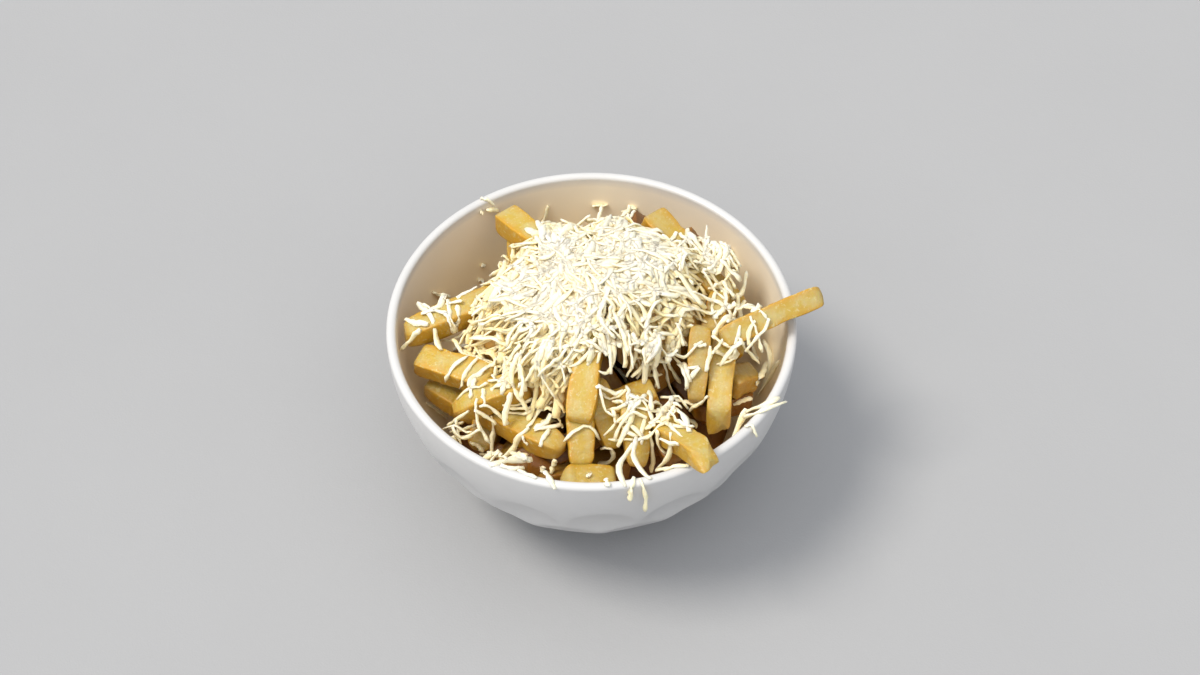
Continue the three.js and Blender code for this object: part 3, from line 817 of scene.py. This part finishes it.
def makeBed():  # bed under the pile, painted dark as the shade in the gaps, closed, just inside the bowl
    b = bedShape
    bed = doubleDisc("paintedShadeBed", b["sides"], b["rings"])
    reach = hollowAt(b["edge"]) - b["gap"]
    for v in bed.data.vertices:
        share = min(1, math.hypot(v.co.x, v.co.y))
        x, y = v.co.x * reach, v.co.y * reach
        if v.co.z > -0.5:
            lumps = b["lumps"] * math.sin(x / 5 + 1) * math.cos(y / 6)
            height = b["edge"] + (b["rise"] + lumps) * (1 - share ** 2)
        else:
            wall = bowlShape["innerDepth"] * math.sqrt(max(0, 1 - (reach * share / hollowRadius) ** 2))
            height = -bowlShape["lip"] - wall + b["gap"] if share < 0.995 else b["edge"]
            height = min(height, b["edge"] - 0.6)
        v.co = Vector((x, y, rim + height)) * mm
    bpy.ops.object.shade_smooth()
    return bed


# How dark the deeper fries are painted, as painted shade, and how the browning differs from fry to fry.
fryShadeAndBrowning = {
    "lower": (0.55, 0.9), "hidden": (0.75, 1.0), "ends": (0.4, 1.2), "sides": (0.6, 1.1), "spread": 0.12,
}


def makeFries(material):
    variants = {kind: modelFry(kind, i) for i, kind in enumerate(fryKinds)}
    kinds = list(fryKinds)
    rows = list(openFries)
    for start, end, roll in lowerFries():
        kind = kinds[dice.integers(len(kinds))]
        shade = dice.uniform(*fryShadeAndBrowning["lower"])
        rows.append((start, end, lowerShape["width"], lowerShape["height"], roll, kind, shade, 0.5))
    shown = [fryCopy(variants, *row) for row in rows]
    undersides = shadowOf(*joinCopies([c[:2] for c in shown]), fromAbove=False)
    cover = np.minimum(baseHeight(gridX, gridY) + 9, undersides + 1.0)
    back = pileShape["openBack"]
    bearing, away = np.degrees(np.arctan2(gridY, gridX)), np.hypot(gridX, gridY)
    isOpen = (bearing > back["bearing"]) & (away > back["away"])
    cover = np.where(isOpen, np.minimum(cover, back["top"]), cover)
    hidden = []
    for start, end, roll in pileFries(cover):
        kind, shade = kinds[dice.integers(len(kinds))], dice.uniform(*fryShadeAndBrowning["hidden"])
        size = pileShape["width"], pileShape["height"]
        hidden.append(fryCopy(variants, start, end, *size, roll, kind, shade, 0.3))
    pieces = []
    for name, copies in (("openFries", shown), ("deepFries", hidden)):
        points, faces = joinCopies([c[:2] for c in copies])
        piece = placePiece(name, points, faces)
        for key in ("browned", "side", "tone"):
            giveValues(piece.data, key, np.concatenate([c[2][key] for c in copies]))
        giveVectors(piece.data, "grainSpace", np.vstack([c[3] for c in copies]) * mm)
        finishPiece(piece, "fries", material)
        pieces.append((points, faces))
    bed = makeBed()
    # the bed takes the full painted shade
    for key, value in (("browned", 0.0), ("side", 0.5), ("tone", 1.0)):
        giveValues(bed.data, key, [value] * len(bed.data.vertices))
    giveVectors(bed.data, "grainSpace", [v.co for v in bed.data.vertices])
    finishPiece(bed, "fries", material)
    return pieces


def fryCopy(variants, start, end, width, height, roll, kind, tone, bend):
    variant = variants[kind]
    points, local = laidFry(variant, start, end, width, height, roll, bend)
    ends, sides = browning(variant[0])
    looks = {
        "browned": np.clip(ends * dice.uniform(*fryShadeAndBrowning["ends"]), 0, 1),
        "side": np.clip(sides * dice.uniform(*fryShadeAndBrowning["sides"]), 0, 1),
        "tone": np.full(len(points), min(1, tone + dice.uniform(0, fryShadeAndBrowning["spread"]))),
    }
    return points, variant[1], looks, local + dice.uniform(0, 400, 3)


cheeseShape = {
    "centre": (0, 8), "radius": 40.5, "top": 15, "edge": -7, "power": 3, "lump": 1.1,
    "coreDepth": 0.6, "coreFall": 5.0, "coreInset": 4.0, "coreLeast": 1.6, "coreFloor": -12,
    "coreSides": 224, "coreRings": 54, "lumpy": 1.4, "lumpSize": 2.2,
    "waves": ((50, 4, 35), (24, 2.5, 12), (94, -6.5, 13), (117, 3, 9), (155, -4.5, 14), (-170, 5, 16),
              (-108, 2, 14), (-72, -24, 14), (-38, -10, 16)),
}
shredShape = {  # flatWay: where the flat side faces; sink: how far each settles into what is below
    "kinds": 12, "rings": 9, "sides": 6, "endSize": (0.45, 0.85), "ringSize": (0.7, 1.25),
    "flatness": (0.8, 1.15), "shift": (0.22, 0.2), "kink": 0.11, "twist": 0.5,
    "flatWay": (0.25, 0.45, 0.86), "points": 15, "slope": 1.0, "sink": -0.24,
}
moundShreds = (  # first the mass, then the long shreds that show
    {"tries": 7000, "count": 700, "length": (5, 14), "over": 0.6, "lifted": 0.1, "lift": 1.0},
    {"tries": 6000, "count": 380, "length": (8, 20), "over": 2.0, "lifted": 0.25, "lift": 1.8},
)
moundLook = {  # choices: spots compared for each shred; outwardFrom: beyond it they point outwards
    "width": (1.8, 3.3), "thick": (0.8, 1.2), "curl": 0.06, "highest": 16.8, "spread": 50,
    "choices": 10, "reach": 1.02, "outermost": 1.12, "crowded": 1.5, "outwardFrom": 0.45,
}
# Ends of fries that stay clear: x, y, radius.
bareSpots = ((20, 44, 7), (25, 37, 5.5), (-25, 42, 6), (-9, -50, 6))
scatterLook = {"length": (4, 13), "width": (1.4, 2.3), "thick": (0.8, 1.2), "curl": 0.08, "lift": 1.2}
# Short shreds among the fries, in patches: x, y, half sizes, count, main heading, spread of headings.
scattered = (
    (-40, -40, 11, 7, 26, 140, 50), (-26, -50, 7, 5, 10, 170, 50), (-48, 8, 8, 8, 5, 60, 70),
    (-30, -26, 9, 7, 10, 40, 60), (-17, -20, 9, 8, 40, 70, 60), (16, -39, 12, 9, 26, 80, 80),
    (46, -2, 8, 13, 18, 80, 60), (34, 22, 8, 8, 40, 60, 90), (0, -15, 6, 7, 34, 60, 90),
    (13, -12, 9, 7, 44, 80, 60), (24, -12, 7, 7, 24, 80, 60), (42, 16, 6, 12, 26, 80, 70),
    (0, 50, 22, 5, 14, 0, 80), (52, -30, 5, 9, 6, 60, 50),
)
laidShreds = (  # shreds in the open, drawn in the camera's view: across and down from its corner
    ((404, 319), (418, 324), (429, 326)),
    ((417, 302), (424, 308), (431, 317), (435, 328), (436, 340), (441, 351)),
    ((422, 306), (434, 311), (448, 314)), ((447, 299), (449, 309), (452, 321), (454, 334)),
    ((432, 292), (440, 296), (450, 296)), ((458, 305), (460, 314), (458, 325), (455, 331)),
    ((402, 350), (410, 340), (420, 330)), ((440, 340), (455, 339), (465, 334), (478, 334), (481, 338)),
    ((452, 349), (460, 348), (469, 344)), ((445, 382), (452, 370), (460, 360), (468, 355)),
    ((461, 388), (464, 378), (468, 368), (478, 360)), ((471, 399), (472, 388), (475, 378)),
    ((484, 404), (484, 396), (484, 389)), ((489, 382), (499, 380), (509, 381), (508, 389)),
    ((505, 358), (506, 368), (505, 378)), ((485, 369), (495, 364), (502, 358)),
    ((502, 404), (512, 406), (524, 402), (532, 398)), ((505, 412), (511, 416), (520, 415), (531, 415)),
    ((500, 460), (510, 454), (516, 444), (520, 435), (528, 429)), ((529, 445), (526, 439), (522, 435)),
    ((536, 430), (545, 424), (555, 419), (564, 414)), ((541, 446), (544, 438), (549, 429)),
    ((535, 431), (546, 428), (562, 426)), ((564, 441), (572, 432), (582, 425), (592, 425), (600, 439)),
    ((528, 428), (536, 418), (545, 409), (552, 401)), ((426, 404), (436, 409), (446, 418)),
    ((448, 426), (458, 418), (469, 410)), ((449, 429), (456, 425), (464, 421)),
    ((452, 432), (461, 430), (475, 426)), ((454, 436), (462, 438), (472, 436)),
    ((459, 439), (464, 445), (470, 450)), ((470, 442), (479, 446), (485, 450)),
    ((480, 454), (490, 455), (500, 455)), ((490, 465), (501, 462), (515, 460), (532, 460)),
    ((500, 466), (512, 470), (524, 468)), ((518, 452), (524, 454), (528, 456)),
    ((516, 470), (528, 474), (536, 479)), ((545, 472), (551, 480), (555, 488)),
    ((550, 475), (554, 465), (555, 458)), ((541, 472), (544, 466)), ((605, 479), (609, 486)),
    ((586, 475), (591, 477)), ((614, 364), (623, 369), (626, 384)),
    ((601, 391), (609, 400), (620, 397), (629, 390)), ((663, 361), (666, 376), (671, 393), (679, 399)),
    ((671, 353), (679, 364), (684, 369), (699, 367)), ((684, 390), (689, 380), (699, 368)),
    ((666, 364), (674, 374), (680, 383)), ((674, 401), (686, 401), (697, 404)),
    ((709, 397), (699, 403), (689, 410)), ((683, 417), (693, 421), (697, 427)),
    ((606, 411), (617, 410), (630, 401), (641, 401)), ((626, 404), (641, 410), (659, 411), (671, 416)),
    ((649, 401), (657, 399), (660, 410)), ((671, 407), (683, 414), (689, 424), (690, 433)),
    ((617, 414), (621, 427), (629, 433), (637, 436)), ((610, 440), (621, 440), (634, 439)),
    ((626, 420), (637, 430), (643, 439)),
    ((636, 440), (627, 451), (621, 459), (619, 467), (621, 479), (626, 487)),
    ((636, 439), (633, 451), (636, 463), (643, 474), (650, 479)),
    ((649, 430), (650, 441), (653, 454), (654, 466), (651, 473)),
    ((651, 421), (660, 421), (671, 426), (680, 427), (690, 430)),
    ((659, 430), (656, 441), (660, 450), (666, 454)),
    ((671, 433), (673, 443), (669, 454), (664, 464), (657, 469)),
    ((654, 470), (666, 469), (679, 467), (690, 466)), ((660, 439), (671, 444), (679, 443)),
    ((601, 449), (610, 446), (616, 454), (609, 463), (599, 463)),
    ((741, 416), (751, 410), (764, 404), (780, 397)), ((744, 417), (757, 414), (770, 407), (786, 402)),
    ((744, 427), (751, 421), (753, 433), (757, 436)), ((710, 347), (709, 361), (706, 371)),
    ((713, 349), (723, 356), (736, 359), (739, 351), (731, 347)), ((711, 336), (723, 341), (734, 349)),
    ((716, 364), (726, 364), (734, 359)), ((737, 336), (744, 346), (751, 354), (759, 364)),
    ((750, 339), (753, 351), (760, 361)), ((763, 340), (770, 350), (773, 361), (769, 377), (761, 391)),
    ((780, 360), (771, 370), (770, 380), (760, 397)), ((756, 384), (763, 371), (767, 363)),
    ((733, 404), (751, 396)), ((694, 346), (699, 350), (706, 344)), ((480, 199), (486, 200), (494, 204)),
    ((486, 208), (492, 206), (499, 211)), ((540, 222), (546, 212), (550, 205)), ((592, 205), (608, 205)),
    ((601, 206), (599, 218), (598, 230)), ((608, 224), (615, 221), (620, 218)), ((628, 206), (637, 208)),
    ((630, 215), (630, 220)), ((708, 226), (706, 240), (704, 258)), ((725, 242), (721, 255), (716, 265)),
    ((734, 250), (728, 258), (722, 264)), ((746, 271), (745, 282), (742, 296), (731, 299)),
    ((736, 255), (735, 265), (731, 270)), ((720, 260), (730, 265), (739, 266)),
    ((636, 478), (630, 488), (629, 500)), ((640, 480), (645, 492), (646, 505), (645, 511)),
    ((492, 416), (494, 442)), ((658, 305), (658, 316), (659, 328)), ((664, 336), (665, 326), (671, 324)),
    ((480, 211), (482, 212)), ((481, 264), (484, 266)), ((478, 279), (482, 281)),
)

drawnLook = {  # scale: millimetres a pixel; every: pixels from ray to ray
    "scale": 0.328, "every": 2.5, "slope": 0.9, "knots": 3.6, "width": (1.5, 2.4), "thick": (0.9, 1.3),
    "clear": 0.2, "above": 0.5, "held": 0.8,
}


def cheeseReach(bearing):
    reach = np.full(np.shape(bearing), float(cheeseShape["radius"]))
    for centre, swell, spread in cheeseShape["waves"]:
        turn = (bearing - math.radians(centre) + math.pi) % (2 * math.pi) - math.pi
        reach = reach + swell * np.exp(-((turn / math.radians(spread)) ** 2))
    return reach


def cheeseShare(x, y):
    dx, dy = x - cheeseShape["centre"][0], y - cheeseShape["centre"][1]
    return np.hypot(dx, dy) / cheeseReach(np.arctan2(dy, dx))


def cheeseHeight(x, y):
    c = cheeseShape
    lumps = c["lump"] * np.sin(x / 5.5 + 1) * np.cos(y / 6.5)
    return c["top"] - (c["top"] - c["edge"]) * np.minimum(1.2, cheeseShare(x, y)) ** c["power"] + lumps


def makeMoundCore():
    c = cheeseShape
    core = doubleDisc("cheeseCore", c["coreSides"], c["coreRings"])
    cx, cy = c["centre"]
    for v in core.data.vertices:
        bearing = math.atan2(v.co.y, v.co.x)
        share = math.hypot(v.co.x, v.co.y)
        reach = float(cheeseReach(bearing)) - c["coreInset"]
        x, y = cx + reach * share * math.cos(bearing), cy + reach * share * math.sin(bearing)
        height = float(cheeseHeight(x, y)) - c["coreDepth"] - c["coreFall"] * share ** 2
        if v.co.z < -0.5:
            height = min(height - c["coreLeast"], c["coreFloor"] + 2 * share)
        v.co = Vector((x, y, rim + height)) * mm
    texture = bpy.data.textures.new("crumble", "CLOUDS")
    texture.noise_scale = c["lumpSize"] * mm
    lumps = core.modifiers.new("lumps", "DISPLACE")
    lumps.texture = texture
    lumps.strength = c["lumpy"] * mm
    lumps.mid_level = 0.6
    applyAll(core)
    bpy.ops.object.shade_smooth()
    return core


def modelShred():  # a unit strip along X, ragged along its length, with blunt ends
    s = shredShape
    deselectAll()
    bpy.ops.mesh.primitive_cylinder_add(vertices=s["sides"], radius=1, depth=1, end_fill_type="NGON")
    shred = bpy.context.object
    startEdit("EDGE")
    pick("edges", lambda edge: abs(edge.verts[0].co.z - edge.verts[1].co.z) > 0.5)
    bpy.ops.mesh.subdivide(number_cuts=s["rings"] - 2)
    for i in range(s["rings"]):
        place = -0.5 + i / (s["rings"] - 1)
        isEnd = i in (0, s["rings"] - 1)
        size = dice.uniform(*s["endSize" if isEnd else "ringSize"])
        pick("verts", lambda v: abs(v.co.z - place) < 0.01)
        scale = (size, size * dice.uniform(*s["flatness"]), 1)
        bpy.ops.transform.resize(value=scale, center_override=(0, 0, place))
        bpy.ops.transform.translate(value=(*[dice.uniform(-shift, shift) for shift in s["shift"]], 0))
    bpy.ops.object.mode_set(mode="OBJECT")
    points = np.array([(v.co.z, v.co.x, v.co.y) for v in shred.data.vertices])
    faces = [tuple(face.vertices) for face in shred.data.polygons]
    bpy.data.objects.remove(shred)
    return points, faces


def travelAlong(path):  # how far along each of its points lies
    return np.concatenate([[0], np.cumsum(np.linalg.norm(np.diff(path, axis=0), axis=1))])


def readAt(places, travel, rows):  # rows of numbers, read between their places
    return np.column_stack([np.interp(places, travel, column) for column in np.array(rows).T])


def between(places, *rows):  # the same at fractional row numbers, with the row before each
    low = np.clip(places.astype(int), 0, len(rows[0]) - 2)
    part = (places - low)[:, None]
    return low, [r[low] * (1 - part) + r[low + 1] * part for r in rows]


def kinks(count):  # a shred's small turns
    walk = np.cumsum(dice.normal(0, shredShape["kink"], (count, 3)), axis=0) * (1, 1, 0.5)
    return walk - walk.mean(axis=0)


def sweptShred(variants, path, width, thick):
    points, faces = variants[dice.integers(len(variants))]
    count = len(path)
    tangent = np.gradient(path, axis=0)
    tangent /= np.linalg.norm(tangent, axis=1)[:, None]
    side = np.cross(shredShape["flatWay"], tangent)
    side /= np.maximum(np.linalg.norm(side, axis=1), 1e-6)[:, None]
    up = np.cross(tangent, side)
    turn = np.linspace(*dice.normal(0, shredShape["twist"], 2), count)[:, None]
    across = (side * np.cos(turn) + up * np.sin(turn)) * width / 2
    rise = (up * np.cos(turn) - side * np.sin(turn)) * thick / 2
    low, (middle, across, rise) = between((points[:, 0] + 0.5) * (count - 1), path, across, rise)
    swept = middle + kinks(count)[low] + across * points[:, 1:2] + rise * points[:, 2:3]
    return swept + (0, 0, rim), faces


def draped(surface, x, y, heading, length, curl, thick, lift):  # a path on the heights, bridging dips
    s = shredShape
    count = s["points"]
    travel = np.linspace(-length / 2, length / 2, count)
    turn = heading + curl * travel
    step = length / (count - 1)
    xs = x + np.concatenate([[0], np.cumsum(np.cos(turn[:-1]) * step)])
    ys = y + np.concatenate([[0], np.cumsum(np.sin(turn[:-1]) * step)])
    xs, ys = xs - (xs[0] + xs[-1]) / 2 + x, ys - (ys[0] + ys[-1]) / 2 + y
    nx, ny = -np.sin(turn) * 0.7, np.cos(turn) * 0.7
    under = np.max([surface[cells(xs + k * nx, ys + k * ny)] for k in (-1, 0, 1)], axis=0)
    drop = s["slope"] * step
    for k in range(1, count):
        under[k] = max(under[k], under[k - 1] - drop)
    for k in range(count - 2, -1, -1):
        under[k] = max(under[k], under[k + 1] - drop)
    smooth = under.copy()
    smooth[1:-1] = np.maximum(under[1:-1] - 0.3, (under[:-2] + 2 * under[1:-1] + under[2:]) / 4)
    rise = lift * np.clip(travel / (length / 2), 0, 1) ** 2
    return np.column_stack([xs, ys, smooth + thick * s["sink"] + rise])


def stamp(surface, path, width, thick):  # the surface with one more shred on it
    spots = between(np.linspace(0, len(path) - 1, len(path) * 2), path)[1][0]
    along = np.gradient(spots[:, :2], axis=0)
    along /= np.maximum(np.hypot(along[:, 0], along[:, 1]), 1e-6)[:, None]
    for k in (-0.35, 0, 0.35):
        cell = cells(spots[:, 0] - along[:, 1] * k * width, spots[:, 1] + along[:, 0] * k * width)
        np.maximum.at(surface, cell, spots[:, 2] + thick * 0.2)


def isBarred(path):
    return any(np.hypot(path[:, 0] - x, path[:, 1] - y).min() < size for x, y, size in bareSpots)


def heapShreds(variants, surface):  # each goes where the mound still lacks most
    cx, cy = cheeseShape["centre"]
    look = moundLook
    target = cheeseHeight(gridX, gridY)
    laid = []
    for layer in moundShreds:
        count = 0
        covered = np.where(surface > target - look["crowded"], 0.5, 0)
        for attempt in range(layer["tries"]):
            if count >= layer["count"]:
                break
            bearing = dice.uniform(0, 2 * math.pi, look["choices"])
            share = look["reach"] * np.sqrt(dice.uniform(0, 1, look["choices"]))
            reach = cheeseReach(bearing) * share
            xs, ys = cx + reach * np.cos(bearing), cy + reach * np.sin(bearing)
            spot = cells(xs, ys)
            best = np.argmax((target - surface)[spot] - look["crowded"] * covered[spot])
            x, y = xs[best], ys[best]
            heading = dice.uniform(0, 6.283)
            if share[best] > look["outwardFrom"]:
                heading = bearing[best] + math.radians(dice.normal(0, look["spread"]))
            length, width, thick = [dice.uniform(*span) for span in (
                layer["length"], look["width"], look["thick"])]
            lift = dice.uniform(0.3, layer["lift"]) if dice.uniform() < layer["lifted"] else 0
            path = draped(surface, x, y, heading, length, dice.normal(0, look["curl"]), thick, lift)
            over = path[:, 2] - lift - cheeseHeight(path[:, 0], path[:, 1])
            outside = cheeseShare(path[:, 0], path[:, 1]).max() > look["outermost"]
            outside = outside or isBarred(path) or path[:, 2].max() > look["highest"]
            if outside or np.percentile(over, 80) > layer["over"]:
                continue
            laid.append(sweptShred(variants, path, width, thick))
            stamp(surface, path, width, thick)
            covered[cells(path[:, 0], path[:, 1])] += 1
            count += 1
        print("mound shreds:", count, "after", attempt + 1, "tries")
    return laid


# Depths below the shreds around where the painted warm shade of the crevices comes in, and its share in
# each piece.
creviceShadeLook = {"from": 0.5, "over": 2.2, "moundShreds": 0.9, "looseShreds": 0.5}


def sunkShare(points, surface):  # how deep each point lies below the shreds around it
    top = surface.copy()
    for dx in (-2, -1, 0, 1, 2):
        for dy in (-2, -1, 0, 1, 2):
            top = np.maximum(top, np.roll(surface, (dx, dy), (0, 1)))
    under = top[cells(points[:, 0], points[:, 1])] - points[:, 2] + rim
    return np.clip((under - creviceShadeLook["from"]) / creviceShadeLook["over"], 0, 1)


def smoothPath(points, count):
    path = np.array(points, float)
    for turn in range(2):  # cuts the corners
        near, far = path[:-1], path[1:]
        inner = np.stack([near * 0.75 + far * 0.25, near * 0.25 + far * 0.75], axis=1).reshape(-1, 3)
        path = np.vstack([path[:1], inner, path[-1:]])
    travel = travelAlong(path)
    return readAt(np.linspace(0, travel[-1], count), travel, path)


def viewRay(across, down):  # from the camera through a point of its view
    c = cameraLook
    lean = math.radians(c["elevation"])
    back = Vector((0, -math.cos(lean), math.sin(lean)))
    up = Vector((0, math.sin(lean), math.cos(lean)))
    far = c["lens"] / c["sensor"] * c["view"][0]
    right, lower = (across - c["view"][0] / 2) / far, (down - c["view"][1] / 2) / far
    way = Vector((right, 0, 0)) - up * lower - back
    return Vector(c["target"]) + back * c["distance"], way.normalized()


def drawnPath(tree, spots):  # a shred drawn in the view, laid on what carries it and bridging the gaps
    look = drawnLook
    travel = travelAlong(spots)
    length = travel[-1] * look["scale"]
    count = max(3, int(travel[-1] / look["every"]) + 1)
    rays = [viewRay(*spot) for spot in readAt(np.linspace(0, travel[-1], count), travel, spots)]
    hits = [tree.ray_cast(*ray) for ray in rays]
    far = np.array([hit[3] if hit[0] is not None else 9999.0 for hit in hits])
    steps = np.abs(np.subtract.outer(range(count), range(count))) * look["slope"] * length / (count - 1)
    near = np.pad((far + steps).min(axis=1), 1, mode="edge")
    near = np.minimum(far, np.convolve(near, [0.25, 0.5, 0.25], "valid"))
    points = []
    for (eye, way), hit, own, reach in zip(rays, hits, near, far):
        normal = hit[1] if reach - own < look["held"] else -way
        normal = normal if normal.dot(way) < 0 else -normal
        lifted = normal * look["above"] - Vector((0, 0, rim))
        points.append(eye + way * (own - look["clear"]) + lifted)
    knots = np.linspace(0, count - 1, max(2, min(count, round(length / look["knots"]) + 1)))
    return readAt(knots, range(count), points)


def layShreds(variants, surface, tree):
    laid = []
    for spots in laidShreds:
        width, thick = dice.uniform(*drawnLook["width"]), dice.uniform(*drawnLook["thick"])
        path = smoothPath(drawnPath(tree, spots), shredShape["points"])
        under = surface[cells(path[:, 0], path[:, 1])]
        deepest = np.where(cheeseShare(path[:, 0], path[:, 1]) < 1.05, 5.0, 1.4)
        sunk = under + thick * 0.3 - path[:, 2]
        path[:, 2] += np.where((sunk > 0) & (sunk < deepest), sunk, 0)
        path[1:-1, 2] = (path[:-2, 2] + 2 * path[1:-1, 2] + path[2:, 2]) / 4
        laid.append(sweptShred(variants, path, width, thick))
        stamp(surface, path, width, thick)
    return laid


def scatterShreds(variants, surface):
    look = scatterLook
    laid = []
    for *place, halfX, halfY, count, main, spread in scattered:
        for i in range(count):
            x, y = [middle + dice.uniform(-1, 1) * half for middle, half in zip(place, (halfX, halfY))]
            heading = math.radians(main + dice.uniform(-1, 1) * spread)
            length, width, thick = [dice.uniform(*look[key]) for key in ("length", "width", "thick")]
            curl, lift = dice.normal(0, look["curl"]), dice.uniform(0, look["lift"])
            path = draped(surface, x, y, heading, length, curl, thick, lift)
            if isBarred(path) or np.any(np.hypot(path[:, 0], path[:, 1]) > hollowRadius - 2):
                continue
            laid.append(sweptShred(variants, path, width, thick))
            stamp(surface, path, width, thick)
    return laid


def makeCheese(bowl, fryMeshes):
    material = cheeseMaterial("whiteCheese", False)
    core = makeMoundCore()
    # painted shade on the core: browner towards its lower edge, where it dips into the gap
    low = [min(0.9, 0.25 + float(cheeseShare(*(v.co.xy / mm))) ** 3) for v in core.data.vertices]
    giveValues(core.data, "sunk", low)
    finishPiece(core, "grated_cheese", cheeseMaterial("packedCheese", True))
    surface = np.full((gridCount, gridCount), -999.0)
    solids = list(fryMeshes)
    for piece in (bowl, core):
        points = np.array([v.co for v in piece.data.vertices]) / mm
        solids.append((points, [tuple(face.vertices) for face in piece.data.polygons]))
    for points, faces in solids:
        surface = np.maximum(surface, shadowOf(points, faces))
    variants = [modelShred() for i in range(shredShape["kinds"])]
    mound = heapShreds(variants, surface)
    points, faces = joinCopies(solids)
    tree = BVHTree.FromPolygons([Vector(p) for p in points], faces)
    loose = layShreds(variants, surface, tree) + scatterShreds(variants, surface)
    for name, copies in (("moundShreds", mound), ("looseShreds", loose)):
        points, faces = joinCopies(copies)
        piece = placePiece(name, points, faces)
        giveValues(piece.data, "sunk", sunkShare(points, surface) * creviceShadeLook[name])
        finishPiece(piece, "grated_cheese", material)


stageLook = {
    "floorSize": 6, "sky": (0.84, 0.9, 1.0, 1), "skyStrength": 0.62,
    "window": {"strength": 2.3, "angle": 22, "color": (1.0, 0.96, 0.89), "travel": (38.5, 2.8, -66)},
    "ceiling": {"strength": 1.5, "angle": 95, "color": (1.0, 0.98, 0.95), "travel": (0.08, 0.28, -0.92)},
}
cameraLook = {
    "lens": 70, "sensor": 36, "view": (1200, 675),
    "elevation": 50.946, "distance": 762.44, "target": (2.7716, -6.8994, 66),
}


def makeStage():
    deselectAll()
    bpy.ops.mesh.primitive_plane_add(size=stageLook["floorSize"], location=(0, 0, 0))
    floor = bpy.context.object
    floor.name = "floor"
    floor.data.materials.append(floorMaterial())
    world = bpy.data.worlds.new("softRoom")
    world.use_nodes = True
    background = world.node_tree.nodes["Background"]
    background.inputs["Color"].default_value = stageLook["sky"]
    background.inputs["Strength"].default_value = stageLook["skyStrength"]
    scene.world = world
    for name in ("window", "ceiling"):  # a window at the left and a wide soft light above the front
        look = stageLook[name]
        light = bpy.data.lights.new(name, "SUN")
        light.energy = look["strength"]
        light.angle = math.radians(look["angle"])
        light.color = look["color"]
        lamp = bpy.data.objects.new(name, light)
        lamp.rotation_euler = Vector(look["travel"]).to_track_quat("-Z", "Y").to_euler()
        scene.collection.objects.link(lamp)
    scene.view_settings.view_transform = "Standard"


def makeCamera():
    c = cameraLook
    data = bpy.data.cameras.new("camera")
    data.lens = c["lens"]
    data.sensor_width = c["sensor"]
    data.clip_start = 0.01
    camera = bpy.data.objects.new("camera", data)
    lean = math.radians(c["elevation"])
    away = Vector((0, -math.cos(lean), math.sin(lean))) * c["distance"]
    camera.location = (Vector(c["target"]) + away) * mm
    camera.rotation_euler = (math.pi / 2 - lean, 0, 0)
    scene.collection.objects.link(camera)
    scene.camera = camera


makeStage()
makeCamera()
print("stage and camera done")
bowl = makeBowl()
print("bowl done")
fryMeshes = makeFries(fryMaterial())
print("fries done")
makeCheese(bowl, fryMeshes)
print("cheese done")
